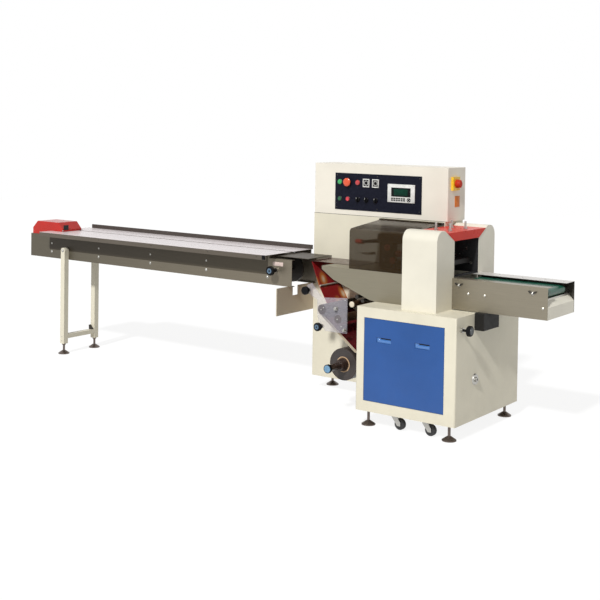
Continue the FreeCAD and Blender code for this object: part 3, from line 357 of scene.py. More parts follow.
FILM_RED, FILM_OVAL, FILM_CORE = (0.30, 0.014, 0.016), (0.55, 0.16, 0.03), (0.70, 0.55, 0.36)
FILM_SHADED_LOWER_RUN, FILM_MARGIN = (0.105, 0.006, 0.010), (0.66, 0.56, 0.42)
FILM_ON_TABLE, FILM_FLECK = (0.045, 0.012, 0.010), (0.42, 0.36, 0.32)


def spots(look, place, looseness, **settings):
    """The distance from the middles of scattered round spots."""
    made = look.node("ShaderNodeTexVoronoi", **settings)
    made.inputs["Scale"].default_value = 1.0
    made.inputs["Randomness"].default_value = looseness
    look.feed(made.inputs["Vector"], place)
    return made.outputs["Distance"]


def film_look():
    """Printed film: soft orange and cream ovals, a plain cream margin, dark on the table."""
    look = Look("printed_film", Specular_IOR_Level=0.25)
    height, across = look.axis("Z"), look.axis("Y")
    squeeze = look.node("ShaderNodeMapping")
    squeeze.inputs["Scale"].default_value = (7, 9, 9)
    look.feed(squeeze.inputs["Vector"], look.place)
    flecks = look.spread(spots(look, squeeze.outputs[0], 0.55), 1, 0, 0.10, 0.16)
    unrolled = look.node("ShaderNodeCombineXYZ")
    look.feed(unrolled.inputs[0], look.math("MULTIPLY", across, 8.5))
    look.feed(unrolled.inputs[1], look.math("MULTIPLY", height, 7.0))
    prints = spots(look, unrolled.outputs[0], 0.6, voronoi_dimensions="2D")
    printed = look.mix(look.spread(prints, 1, 0, 0.20, 0.37), rgb(FILM_RED), rgb(FILM_OVAL))
    printed = look.mix(look.spread(prints, 1, 0, 0.04, 0.19), printed, rgb(FILM_CORE))
    # Painted shade: the film's lower run, under the table, is darkened to a deep red.
    below_roller = look.math("LESS_THAN", height, LOWER_ROLLER)
    printed = look.mix(below_roller, printed, rgb(FILM_SHADED_LOWER_RUN))
    on_table = look.math("GREATER_THAN", height, high("film_web").z - 0.006)
    shaded = look.mix(on_table, printed, rgb(FILM_ON_TABLE))
    shaded = look.mix(look.math("MULTIPLY", on_table, flecks), shaded, rgb(FILM_FLECK))
    web_front = low("film_web").y
    lower_margin = look.math("LESS_THAN", across, web_front + 0.024)
    middle_margin = look.math("LESS_THAN", across, web_front + 0.100)
    middle_run = look.math("MULTIPLY", look.math("SUBTRACT", 1.0, below_roller),
                           look.math("LESS_THAN", height, FORMER_LIP))
    margin = look.math("MAXIMUM", look.math("MULTIPLY", below_roller, lower_margin),
                       look.math("MULTIPLY", middle_run, middle_margin))
    look.colour(look.mix(margin, shaded, rgb(FILM_MARGIN)))
    look.roughness(look.spread(look.noise(40, 4), 0.12, 0.3))
    look.bump(look.noise(14, 4), 0.25, 0.002)
    return look.mat


def roll_look():
    """The wound film's end: fine dark rings round the reel's axis."""
    look = Look("film_roll_end")
    middle = (low("film_roll") + high("film_roll")) / 2
    shift = look.node("ShaderNodeVectorMath", operation="SUBTRACT")
    look.feed(shift.inputs[0], look.place)
    shift.inputs[1].default_value = middle
    flat = look.node("ShaderNodeVectorMath", operation="MULTIPLY")
    look.feed(flat.inputs[0], shift.outputs[0])
    flat.inputs[1].default_value = (1, 0, 1)
    far = look.node("ShaderNodeVectorMath", operation="LENGTH")
    look.feed(far.inputs[0], flat.outputs[0])
    rings = look.node("ShaderNodeTexNoise", noise_dimensions="1D")
    look.feed(rings.inputs["W"], look.math("MULTIPLY", far.outputs["Value"], 420.0))
    rings.inputs["Scale"].default_value = 1.0
    rings.inputs["Detail"].default_value = 6.0
    look.colour(look.mix(look.spread(rings.outputs["Fac"], 0, 1), rgb((0.017, 0.013, 0.012)),
                         rgb((0.062, 0.050, 0.045))))
    look.roughness(look.spread(rings.outputs["Fac"], 0.3, 0.55))
    look.bump(rings.outputs["Fac"], 0.35, 0.0006)
    return look.mat


def clear_look(name, colour, alpha, rough, shine):
    """See-through sheet: a tint, faint scratches and smears in its gloss."""
    look = Look(name, Alpha=alpha, IOR=1.49, Specular_IOR_Level=shine)
    smears = look.noise(5, 6)
    scratches = look.noise(8, 5, (90, 3, 14))
    look.colour(look.mix(look.spread(smears, 0, 1), rgb(colour, 0.88), rgb(colour, 1.12)))
    look.roughness(look.spread(smears, rough, rough + 0.12))
    look.bump(scratches, 0.03, 0.0003)
    return look.mat


def former_look():
    """The former: dark brown bridge plate, bright worn lip below."""
    look = Look("former_steel", Metallic=0.3, Specular_IOR_Level=0.3)
    lines = look.noise(6, 4, (2, 200, 200))
    dark = look.mix(look.spread(lines, 0, 1), rgb((0.055, 0.045, 0.032)),
                    rgb((0.085, 0.07, 0.052)))
    bright = look.mix(look.spread(lines, 0, 1), rgb((0.42, 0.39, 0.33)), rgb((0.6, 0.57, 0.5)))
    look.colour(look.mix(look.math("GREATER_THAN", look.axis("Z"), BRIDGE_LEVEL), bright, dark))
    look.roughness(look.spread(lines, 0.4, 0.55))
    look.bump(lines, 0.05, 0.0003)
    return look.mat


table_top = table_top_look()
steel_frame, steel_plate, rear_side = frame_look(), housing_look(), rear_side_look()
former = former_look()
green_belt = belt_look()
film = film_look()
roll_end = roll_look()
smoked = clear_look("smoked_acrylic", (0.032, 0.018, 0.006), 0.68, 0.05, 0.12)
clear = clear_look("clear_acrylic", (0.62, 0.60, 0.67), 0.24, 0.16, 0.5)

CARRIED = {
    "lower_cabinet": cream, "blue_panel": blue, "rear_body": cream, "control_box": cream_box,
    "control_panel": navy, "switch_base": yellow, "switch_knob": switch_red,
    "pier_front": pier_paint, "pier_rear": pier_paint, "lower_jaw": jaw_steel,
    "upper_jaw": jaw_steel, "red_hood": red, "hood_studs": zinc, "table_housing": steel_plate,
    "acrylic_cover": smoked, "cover_hinge": dark_metal, "infeed_frame_front": steel_frame,
    "infeed_frame_rear": steel_frame, "infeed_top": table_top, "crossbars": steel_frame,
    "rear_guide_rail": rail_plastic, "infeed_chain": chain_metal,
    "infeed_sprockets": chain_metal, "tail_cover": tail_red, "infeed_stand": cream,
    "levelling_feet": foot_steel, "caster_plates": zinc, "infeed_bracket": bracket_steel,
    "film_former": former, "film_web": film, "film_rollers": brown_rubber,
    "roller_plate": clear, "reel_shaft": shaft_brown, "film_roll": roll_end,
    "reel_cap": reel_blue, "bearing_bosses": zinc, "infeed_knob": black, "upper_knob": black,
    "lower_knob": black, "side_handwheel": black, "crank_socket": zinc,
    "discharge_side_front": steel, "discharge_side_rear": rear_side, "discharge_belt": green_belt,
    "discharge_rollers": dark_metal, "discharge_nose": pier_paint, "drive_box": drive_dark,
}
for number in range(1, 5):
    CARRIED["caster_fork_%d" % number] = zinc
    CARRIED["caster_wheel_%d" % number] = rubber
for name, mat in CARRIED.items():
    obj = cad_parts[name]
    if not obj.material_slots:
        obj.data.materials.append(mat)
    for slot in obj.material_slots:
        slot.material = mat


def soften(name, width):
    """Rolled sheet edges: the CAD corners get a small radius that catches the light."""
    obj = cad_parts[name]
    weld = obj.modifiers.new("weld", "WELD")
    weld.merge_threshold = 0.00002
    bevel = obj.modifiers.new("edges", "BEVEL")
    bevel.width = width
    bevel.segments = 2
    bevel.limit_method = "ANGLE"
    bevel.angle_limit = math.radians(40)
    bevel.harden_normals = False


# ---------------------------------------------------------------- mesh building
class Build:
    """Collects forms in one mesh, each with its own material, and turns it into a piece."""

    def __init__(self):
        self.bm = bmesh.new()
        self.mats = []

    def take(self, part, mat, bevel=0.0, segments=2):
        if bevel:
            sharp = [e for e in part.edges if len(e.link_faces) == 2
                     and e.calc_face_angle(0) > math.radians(35)]
            bmesh.ops.bevel(part, geom=sharp, offset=bevel, segments=segments, profile=0.5,
                            affect="EDGES", clamp_overlap=True)
        bmesh.ops.recalc_face_normals(part, faces=part.faces)
        if mat not in self.mats:
            self.mats.append(mat)
        for face in part.faces:
            face.material_index = self.mats.index(mat)
            face.smooth = True
        carrier = bpy.data.meshes.new("part")
        part.to_mesh(carrier)
        part.free()
        self.bm.from_mesh(carrier)
        bpy.data.meshes.remove(carrier)

    def box(self, a, b, mat, bevel=0.0008):
        lo = Vector([min(p, q) for p, q in zip(a, b)])
        hi = Vector([max(p, q) for p, q in zip(a, b)])
        part = bmesh.new()
        bmesh.ops.create_cube(part, size=1.0)
        size = hi - lo
        for vert in part.verts:
            vert.co = Vector([m + v * s for m, v, s in zip((lo + hi) / 2, vert.co, size)])
        self.take(part, mat, min(bevel, min(size) * 0.3))

    def prism(self, corners, run, mat, bevel=0.0006):
        part = bmesh.new()
        near = [part.verts.new(corner) for corner in corners]
        far = [part.verts.new(corner + run) for corner in corners]
        part.faces.new(near)
        part.faces.new(list(reversed(far)))
        count = len(corners)
        for i in range(count):
            k = (i + 1) % count
            part.faces.new((near[i], near[k], far[k], far[i]))
        self.take(part, mat, bevel)

    def lathe(self, start, axis, profile, mat, steps=40, lobes=0, swell=0.0):
        """profile: (run along the axis, radius) in millimetres."""
        axis = Vector(axis).normalized()
        side = axis.orthogonal().normalized()
        other = axis.cross(side)
        part = bmesh.new()
        rings = []
        for run, radius in profile:
            middle = start + axis * run * MM
            if radius < 0.01:
                rings.append([part.verts.new(middle)])
                continue
            ring = []
            for i in range(steps):
                turn = 2 * math.pi * i / steps
                size = (radius + swell * math.cos(lobes * turn)) * MM
                ring.append(part.verts.new(middle + (side * math.cos(turn)
                                                     + other * math.sin(turn)) * size))
            rings.append(ring)
        for a, b in zip(rings, rings[1:]):
            for i in range(steps):
                k = (i + 1) % steps
                loop = [a[i % len(a)], a[k % len(a)], b[k % len(b)], b[i % len(b)]]
                unique = list(dict.fromkeys(loop))
                if len(unique) > 2:
                    part.faces.new(unique)
        self.take(part, mat)

    def done(self, name, body, slot_name, *replaced):
        mesh = bpy.data.meshes.new(name)
        self.bm.to_mesh(mesh)
        self.bm.free()
        for mat in self.mats:
            mesh.materials.append(mat)
        mesh.set_sharp_from_angle(angle=math.radians(38))
        obj = bpy.data.objects.new(name, mesh)
        bpy.context.scene.collection.objects.link(obj)
        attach(obj, body)
        if replaced:
            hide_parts(*replaced)
        return obj


LEFT, RIGHT = Vector((-1, 0, 0)), Vector((1, 0, 0))
OUT, BACK, UP = Vector((0, -1, 0)), Vector((0, 1, 0)), Vector((0, 0, 1))


# ---------------------------------------------------------------- control panel
PANEL_Y = 549
ROW_UPPER, ROW_LOWER = 1337, 1232
ITEMS = (1132, 1072, 999, 936, 868)
LAMP, STOP, BUTTON = 15, 14, 13  # radii under the collars


def collar(build, place, radius):
    """The plated ring that clamps a button to the plate."""
    build.lathe(place, OUT, [(0, 0), (0, radius + 2.4), (1.6, radius + 2.4), (2.6, radius + 1),
                             (2.6, radius - 1)], dark_metal)


def dome(build, place, radius, height, mat):
    """A lamp's rounded lens."""
    build.lathe(place, OUT, [(2, radius - 1), (height * 0.55, radius),
                             (height * 0.8, radius * 0.9), (height * 0.95, radius * 0.6),
                             (height, 0)], mat)


def panel_controls():
    """Two lamps and the stop button above, two push buttons and three selectors below."""
    build = Build()
    for item, mat in ((ITEMS[0], green_lamp), (ITEMS[2], red_lamp)):
        place = at(item, PANEL_Y, ROW_UPPER)
        collar(build, place, LAMP)
        dome(build, place, LAMP + 1, 12, mat)
    stop = at(ITEMS[1], PANEL_Y, ROW_UPPER)
    collar(build, stop, STOP)
    build.lathe(stop, OUT, [(2, 12), (12, 12), (12.5, 24), (15, 26), (20, 25.4), (24, 19),
                            (25.6, 9), (26, 0)], mushroom_red, steps=56)
    for item, mat in ((ITEMS[0], green_dark), (ITEMS[1], pink_red)):
        place = at(item, PANEL_Y, ROW_LOWER)
        collar(build, place, BUTTON)
        build.lathe(place, OUT, [(2, BUTTON), (8, BUTTON), (9.6, 11.6), (9, 8), (8.6, 0)], mat)
    for item in ITEMS[2:]:
        place = at(item, PANEL_Y, ROW_LOWER)
        build.lathe(place, OUT, [(0, 0), (0, 16.5), (2, 16.5), (3, 15), (10, 14.5), (11, 13.4),
                                 (11, 0)], black, steps=48)
        build.box(at(item + 4.5, PANEL_Y - 10, ROW_LOWER - 14),
                  at(item - 4.5, PANEL_Y - 19.5, ROW_LOWER + 14), black, 0.002)
        build.box(at(item + 0.9, PANEL_Y - 19.3, ROW_LOWER + 3),
                  at(item - 0.9, PANEL_Y - 20, ROW_LOWER + 13), frame_white, 0.0002)
    return build.done("panel_controls_fitted", "machine", "control_plastic", "panel_controls")


def dial(build, item):
    """A square temperature setter: pale bezel and ring, dark face, pointer knob, ticks."""
    half_x, half_z = 23.5, 26
    middle = at(item, PANEL_Y, ROW_UPPER)
    bars = ((-half_x, -half_x + 5, -half_z, half_z), (half_x - 5, half_x, -half_z, half_z),
            (-half_x + 5, half_x - 5, half_z - 6, half_z),
            (-half_x + 5, half_x - 5, -half_z, -half_z + 6))
    for x1, x2, z1, z2 in bars:
        build.box(middle + Vector((x1 * MM, -8 * MM, z1 * MM)),
                  middle + Vector((x2 * MM, 0, z2 * MM)), frame_white, 0.001)
    build.box(middle + Vector((-18.5 * MM, -5 * MM, -20 * MM)),
              middle + Vector((18.5 * MM, 0, 20 * MM)), black_matte, 0.0004)
    build.lathe(middle + OUT * 5 * MM, OUT,
                [(0, 14), (0.6, 14), (0.9, 13), (0.6, 11.6), (0, 11.6)], frame_white, steps=48)
    build.lathe(middle + OUT * 5 * MM, OUT, [(0, 11.5), (0.8, 11.5), (0.8, 9.5), (2.6, 9),
                                             (3, 8), (3, 0)], black, steps=48)
    build.box(middle + Vector((-1 * MM, -8 * MM, 1 * MM)),
              middle + Vector((1 * MM, -7.6 * MM, 8 * MM)), frame_white, 0.0001)
    for i in range(11):
        turn = math.radians(-135 + 27 * i)
        spot = middle + Vector((math.sin(turn) * 16, -5.1, math.cos(turn) * 16)) * MM
        build.box(spot - Vector((0.7, 0.3, 0.7)) * MM, spot + Vector((0.7, 0.3, 0.7)) * MM,
                  frame_white, 0.0001)


def panel_instruments():
    """The two setters and the display with its keys, cursor pad and screws."""
    build = Build()
    dial(build, ITEMS[3])
    dial(build, ITEMS[4])
    left, right = 779, 588
    base, top = 1229, 1340
    face = PANEL_Y - 8
    screen_left, screen_right = 752, 616
    key_pitch, key_row = 17, 11
    build.box(at(left, PANEL_Y, base), at(right, face, top), frame_white, 0.003)
    build.box(at(screen_left, face, 1264), at(screen_right, face - 0.4, 1319), black, 0.0002)
    build.box(at(734, face - 0.2, 1272), at(636, face - 0.8, 1311), lcd, 0.0002)
    for row in range(2):
        for column in range(6):
            x, z = screen_left - key_pitch * column, 1253 - key_row * row
            build.box(at(x, face, z - 4), at(x - 13, face - 0.9, z + 4), black, 0.0006)
    pad = at(628, face, 1247)
    build.lathe(pad, OUT, [(0, 0), (0, 13), (0.7, 13), (0.9, 12), (0.9, 0)], black)
    for turn in range(4):
        angle = math.pi / 2 * turn
        spot = pad + Vector((math.cos(angle) * 8, -0.9, math.sin(angle) * 8)) * MM
        build.lathe(spot, OUT, [(0, 2.6), (0.4, 2.2), (0.4, 0)], frame_white, steps=20)
    for dx in (-88, 88):
        for dz in (-49, 49):
            spot = at((left + right) / 2 + dx, face, (base + top) / 2 + dz)
            build.lathe(spot, OUT, [(0, 2.6), (0.6, 2.2), (0.6, 0)], zinc, steps=20)
    return build.done("panel_instruments_fitted", "machine", "instrument_plastic",
                      "panel_instruments")


def box_details():
    """On the control box: bare orange plate, a dark strip below as painted shade in the joint, the
    switch's ridge, screws.
    """
    build = Build()
    side = high("control_box").x
    plate_front, plate_back, thick = at(0, 638, 0).y, at(0, 697, 0).y, 0.0012
    build.box(Vector((side, plate_front, 1.215)), Vector((side + thick, plate_back, 1.281)),
              orange, 0.0003)
    build.done("orange_plate", "machine", "yellow_plastic")
    build = Build()
    # A thin dark strip at the box's foot, painted shade for the gap where the box meets the
    # column.
    lo, hi = low("control_box"), high("control_box")
    proud = 0.0006
    build.box(Vector((lo.x - proud, lo.y - proud, lo.z - 0.0022)),
              Vector((hi.x - 0.014, lo.y + 0.004, lo.z)), dark_metal, 0.0002)
    build.done("box_joint_shade", "machine", "dark_plastic")
    build = Build()
    knob_lo, knob_hi = low("switch_knob"), high("switch_knob")
    middle = (knob_lo + knob_hi) / 2
    build.box(Vector((knob_hi.x - 0.012, middle.y - 0.007, middle.z - 0.023)),
              Vector((knob_hi.x + 0.002, middle.y + 0.007, middle.z + 0.023)), switch_red, 0.004)
    build.done("switch_grip", "switch", "red_plastic")
    build = Build()
    lo, hi = low("control_panel"), high("control_panel")
    for x in (lo.x + 0.014, (lo.x + hi.x) / 2, hi.x - 0.014):
        for z in (lo.z + 0.014, hi.z - 0.014):
            build.lathe(Vector((x, lo.y, z)), OUT, [(0, 0), (0, 4.2), (1.2, 3.8), (2.0, 2.2),
                                                    (2.1, 0)], dark_metal, steps=24)
    build.done("console_screws", "machine", "zinc")


# ---------------------------------------------------------------- cabinet
def ease(share):
    """0 before, 1 after, smooth between."""
    share = min(1.0, max(0.0, share))
    return share * share * (3 - 2 * share)


def panel_pulls():
    """Scooped pulls in the blue panel: a bulging lower lip under a finger slot, darkened by a
    black strip as painted shade.
    """
    lo = low("blue_panel")
    first, pitch = 83, 245
    swell_height, knuckle_height = 0.0022, 0.0020
    rim = 0.0043  # keeps the bulge behind the panel's face
    for number, start in enumerate((first, first + pitch), start=1):
        build = Build()
        left, bottom = lo.x + (start + 1) * MM, 0.484
        width, height, depth = 0.090, 0.028, 0.0108
        part = bmesh.new()
        columns, rows = 28, 16
        grid = []
        for j in range(rows + 1):
            v = j / rows
            line = []
            for i in range(columns + 1):
                u = i / columns
                sunk = ease((v - 0.52) / 0.18) * ease((u - 0.10) / 0.16) * ease((0.99 - u) / 0.03)
                swell = math.sin(math.pi * u) ** 0.5 * math.sin(math.pi * min(1, v / 0.62))
                knuckle = math.exp(-((u - 0.12) / 0.10) ** 2 - ((v - 0.5) / 0.3) ** 2)
                out = (depth - rim) * sunk - swell_height * max(0, swell)
                out -= knuckle_height * knuckle
                line.append(part.verts.new((left + width * u, lo.y + rim + out,
                                            bottom + height * v)))
            grid.append(line)
        for j in range(rows):
            for i in range(columns):
                part.faces.new((grid[j][i], grid[j][i + 1], grid[j + 1][i + 1], grid[j + 1][i]))
        build.take(part, pull_blue)
        # A black strip at the back of the finger slot: painted shade in the recess.
        build.box(Vector((left + 0.012, lo.y + depth - 0.0008, bottom + height * 0.72)),
                  Vector((left + width - 0.002, lo.y + depth - 0.0001, bottom + height)),
                  black_matte, 0)
        build.done("panel_pull_%d" % number, "machine", "blue_paint")


def bolt(build, place, out, radius=6.5, height=4.5, washer=True, mat=zinc):
    """A domed head with a socket, on a washer unless it is a small one."""
    if washer:
        build.lathe(place, out, [(0, 0), (0, radius * 1.5), (1.3, radius * 1.5),
                                 (1.5, radius * 1.4), (1.5, 0)], mat, steps=32)
    base = 1.4 if washer else 0
    build.lathe(place, out, [(base, radius), (base + height * 0.5, radius * 0.95),
                             (base + height * 0.85, radius * 0.6), (base + height, radius * 0.4),
                             (base + height * 0.6, radius * 0.36), (base + height * 0.6, 0)],
                mat, steps=32)


def frame_bolts():
    """Screws along the infeed's side plates and lip, the bare plate and the end clip."""
    last = 1493
    front, back = low("infeed_frame_front").y, high("infeed_frame_rear").y
    build = Build()
    for x in (3500, 3010, 2507, 2002, last):
        for y, out in ((front, OUT), (back, BACK)):
            bolt(build, on(y, x, 730), out)
            if x != last:
                bolt(build, on(y, x, 790), out, 4.5, 3)
    for x in (3400, 2900, 2400, 1900, 1500):
        for y, out in ((low("infeed_top").y, OUT), (high("infeed_top").y, BACK)):
            bolt(build, on(y, x, 866), out, 3.2, 2, False, dark_metal)
    build.done("frame_bolts", "machine", "zinc")
    build = Build()
    build.box(Vector((at(1452, 0, 0).x, front - 0.0012, 0.806)),
              Vector((at(1371, 0, 0).x, front, 0.830)), pale_label, 0.0004)
    build.done("bare_plate", "machine", "instrument_plastic")
    build = Build()
    top = low("infeed_top")
    end = high("infeed_top").x
    build.box(Vector((end - 0.030, top.y - 0.003, 0.852)), Vector((end - 0.004, top.y, 0.8795)),
              black, 0.002)
    build.done("table_end_clip", "machine", "knob_black")


def stand_fittings():
    """Bolts of the infeed's stand and the clamp on its brace."""
    build = Build()
    lo, hi = low("infeed_stand"), high("infeed_stand")
    middle = (lo.x + hi.x) / 2
    for y, out in ((lo.y, OUT), (hi.y, BACK)):
        bolt(build, Vector((middle, y, hi.z - 0.020)), out, 8, 6)
        for z in (lo.z + 0.020, lo.z + 0.052):
            bolt(build, Vector((middle, y, z)), out, 4.5, 3, False)
    build.done("stand_bolts", "machine", "zinc")
    build = Build()
    rear = at(0, 540, 0).y
    build.prism([Vector((middle - 0.014, rear - 0.0008, 0.138)),
                 Vector((middle - 0.018, rear - 0.0008, 0.172)),
                 Vector((middle + 0.016, rear - 0.0008, 0.140))],
                Vector((0, -0.022, 0)), dark_metal, 0.002)
    build.done("brace_clamp", "machine", "dark_steel")


def wing_nut(build, place, out):
    """A wing nut on its stud."""
    build.lathe(place, out, [(0, 0), (0, 10), (1.4, 10), (1.5, 7.5), (9, 6), (10, 4.5), (10, 3.2),
                             (15, 3.2), (15.6, 2.4), (15.6, 0)], zinc, steps=28)
    for way in (-1, 1):
        root = place + out * 4 * MM
        corners = [root + RIGHT * way * across * MM + UP * rise * MM
                   for across, rise in ((4, -4), (21, 6), (24, 12), (19, 14), (4, 5))]
        build.prism(corners, out * 4.5 * MM, dark_metal, 0.0015)


def discharge_details():
    """Fittings of the discharge conveyor and the bar under the belt's nose."""
    build = Build()
    for node, out in (("discharge_side_front", OUT), ("discharge_side_rear", BACK)):
        y = low(node).y if out is OUT else high(node).y
        for x in (118, -322):
            wing_nut(build, on(y, x, 815), out)
        for x, z in ((61, 773), (-39, 773), (-381, 740)):
            bolt(build, on(y, x, z), out, 8.5, 6, False, steel_light)
    build.done("conveyor_fittings", "machine", "zinc")
    build = Build()
    rear_hi = high("discharge_side_rear")
    for x in (20, -120, -260, -370):
        spot = at(x, 0, 0)
        bolt(build, Vector((spot.x, rear_hi.y - 0.055, rear_hi.z)), UP, 4, 2.5, False)
    build.done("flange_screws", "machine", "zinc")
    build = Build()
    belt_end = high("discharge_belt").x
    build.box(Vector((belt_end - 0.020, at(0, 247, 0).y, 0.772)),
              Vector((belt_end - 0.004, at(0, 597, 0).y, 0.786)), steel_light, 0.001)
    build.done("belt_nose_bar", "machine", "stainless")


# ---------------------------------------------------------------- sealing housing and cover
def tunnel_shade_sheets():
    """Black sheets inside the sealing tunnel as painted shade, on its walls and floor, and the
    baffle at its start.
    """
    pier = low("pier_rear")
    front = high("pier_front").y
    start, end = low("pier_rear").x + 0.004, high("pier_rear").x - 0.002
    build = Build()
    # These black sheets are painted shade for the dark inside of the tunnel.
    sheet = 0.0015
    for y in (front, pier.y - sheet):
        build.box(Vector((start, y, TUNNEL_FLOOR)), Vector((end, y + sheet, TUNNEL_TOP)),
                  black_matte, 0.0004)
    jaw_clearance = 0.004
    for a, b in ((start, low("lower_jaw").x - jaw_clearance),
                 (high("lower_jaw").x + jaw_clearance, end)):
        build.box(Vector((a, front, TUNNEL_FLOOR)), Vector((b, pier.y, TUNNEL_FLOOR + 0.001)),
                  black_matte, 0.0002)
    for x, z, r in ((0.045, 0.905, 9), (0.075, 0.990, 6), (0.120, 0.950, 5)):
        build.lathe(Vector((end - x, pier.y - sheet, z)), OUT, [(0, 0), (0, r), (4, r * 0.9),
                                                               (5, 0)], zinc, steps=28)
    build.done("tunnel_shade_sheets", "machine", "dark_steel")
    build = Build()
    build.box(Vector((start - 0.007, front + 0.002, 0.905)),
              Vector((start - 0.005, pier.y - 0.014, TUNNEL_TOP)), black_matte, 0.0004)
    build.done("seal_baffle", "machine", "dark_steel")


def sealing_unit():
    """What stands under the smoked cover: posts, an arm with its roller, draw rollers."""
    build = Build()
    build.box(at(702, 335, 854), at(610, 395, 1010), black_matte, 0.006)
    build.box(at(716, 330, 1004), at(560, 400, 1056), black_matte, 0.008)
    build.prism([at(706, 340, 1000), at(706, 340, 1024), at(838, 340, 1004), at(838, 340, 988)],
                Vector((0, 0.024, 0)), black, 0.004)
    build.box(at(600, 350, 854), at(520, 520, 905), dark_metal, 0.006)
    build.box(at(500, 300, 854), at(430, 500, 1000), black_matte, 0.008)
    build.done("sealing_posts", "machine", "dark_steel")
    build = Build()
    build.lathe(at(882, 352, 996), RIGHT, [(0, 0), (1, 8), (5, 12), (12, 14), (52, 14), (60, 12),
                                           (64, 8), (65, 0)], draw_red, steps=36)
    wheels = ((640, 326, 978), (560, 322, 950), (600, 322, 905), (480, 290, 985))
    studs = ((520, 320, 930), (660, 318, 905), (455, 292, 930))
    for x, y, z in wheels:
        build.lathe(at(x, y + 6, z), OUT, [(0, 0), (0, 17), (2, 20), (10, 20), (12, 17), (12, 6),
                                          (16, 5), (16, 0)], draw_red, steps=40)
    for x, y, z in studs:
        build.lathe(at(x, y + 10, z), OUT, [(0, 0), (0, 7), (8, 7), (9, 5), (14, 4), (14, 0)],
                    zinc, steps=28)
    build.done("draw_rollers", "machine", "roller_rubber")
    build = Build()
    build.prism([at(842, 330, 930), at(760, 330, 938), at(752, 330, 926), at(790, 330, 922)],
                Vector((0, 0.05, 0)), cream_roller, 0.001)
    build.done("folding_shoe", "machine", "stainless")


def tail_hole_shade():
    """A black patch on the end of the red tail cover, painted shade for the hole there, with its
    plated pin.
    """
    build = Build()
    end = high("tail_cover").x
    mid = at(0, 311, 910)
    # The black patch is painted shade standing for the hole in the cover's end.
    build.box(Vector((end, mid.y - 0.024, mid.z - 0.018)),
              Vector((end + 0.0008, mid.y + 0.024, mid.z + 0.018)), black_matte, 0.0003)
    build.lathe(Vector((end, mid.y - 0.032, mid.z - 0.022)), RIGHT,
                [(0, 0), (0, 5), (3, 5), (4, 3), (4, 0)], zinc, steps=24)
    build.done("tail_hole_shade", "machine", "red_paint")


# ---------------------------------------------------------------- film side
def knob_caps():
    """Blue-grey caps in the two knobs that show one."""
    for node, body, radius in (("infeed_knob", "infeed_wheel", 17),
                               ("lower_knob", "lower_clamp", 15)):
        place = front_of(node)
        build = Build()
        build.lathe(place, OUT, [(-1, 0), (-1, radius), (1.2, radius - 0.6), (1.8, radius - 3),
                                 (1.0, radius * 0.5), (0.9, radius * 0.34)], cap_blue, steps=48)
        build.lathe(place, OUT, [(0.6, radius * 0.36), (1.5, radius * 0.3), (1.7, 0)], black,
                    steps=36)
        build.done(node + "_cap", body, "knob_black")


def handwheel_cap():
    """The dark hollow cap in the side handwheel."""
    build = Build()
    build.lathe(end_of("side_handwheel"), RIGHT,
                [(-1, 0), (-1, 19), (1.0, 18.4), (1.6, 16), (0.6, 9), (0.4, 0)], cap_dark,
                steps=48)
    build.done("side_handwheel_cap", "handwheel", "knob_black")


def knob_grips():
    """The fluted rims of the knobs and the handwheel, each set in from its front face."""
    for node, body, face, inward in (("infeed_knob", "infeed_wheel", front_of, BACK),
                                     ("upper_knob", "upper_clamp", front_of, BACK),
                                     ("lower_knob", "lower_clamp", front_of, BACK),
                                     ("side_handwheel", "handwheel", end_of, LEFT)):
        radius = (high(node).z - low(node).z) / 2 / MM
        build = Build()
        build.lathe(face(node), inward,
                    [(5, radius - 2), (5.5, radius - 0.2), (17, radius - 0.2), (17.5, radius - 2)],
                    black, steps=96, lobes=16, swell=0.55)
        build.done(node + "_grip", body, "knob_black")


def reel_details():
    """Card core, clamping ring and cap rim at the reel's front end."""
    face = front_of("film_roll")
    build = Build()
    build.lathe(face, OUT, [(-2, 40.2), (1.6, 40.2), (2.2, 41), (2.2, 45), (1.6, 46), (-0.5, 46)],
                core_card, steps=64)
    build.lathe(face, OUT, [(-0.5, 91), (1.0, 91.4), (1.2, 92.6), (0.6, 94.2), (-0.5, 94.6)],
                shaft_brown, steps=80)
    build.done("reel_core", "reel", "film_roll_end")
    build = Build()
    build.lathe(Vector((face.x, low("reel_cap").y, face.z)), OUT,
                [(-17.5, 22), (-17.5, 25.4), (-1, 25.4), (0.6, 24.2), (0.6, 21.6), (-0.4, 21)],
                black, steps=56)
    build.done("reel_cap_rim", "reel", "knob_black")


def roller_details():
    """Knobs and screws on the clear plate, the third roller's pale end, two shafts."""
    plate = low("roller_plate").y
    build = Build()
    for x, z, r in ((906, 605, 10), (843, 484, 9)):
        build.lathe(on(plate, x, z), OUT,
                    [(0, 0), (0, r + 2), (2, r + 2), (2.4, r - 3), (8, r - 3), (9, r), (18, r),
                     (20, r - 2), (20, 0)], zinc, steps=36)
    for x, z in ((1035, 628), (845, 660), (1000, 600), (870, 500), (1017, 586), (900, 540)):
        bolt(build, on(plate, x, z), OUT, 4, 2.5, False)
    build.done("plate_fittings", "machine", "zinc")
    build = Build()
    build.lathe(at(801, 202.5, 640), OUT,
                [(0, 0), (0, 17.4), (3, 17.4), (5, 15.5), (6, 9), (6, 0)], cream_roller, steps=44)
    build.done("roller_end", "machine", "roller_rubber")
    build = Build()
    for x, y1, y2, z in ((770, 205, 540, 688), (730, 205, 540, 668)):
        build.lathe(at(x, y1, z), BACK, [(0, 0), (0, 11), (y2 - y1, 11), (y2 - y1, 0)],
                    dark_metal, steps=32)
    build.done("apron_shafts", "machine", "dark_steel")


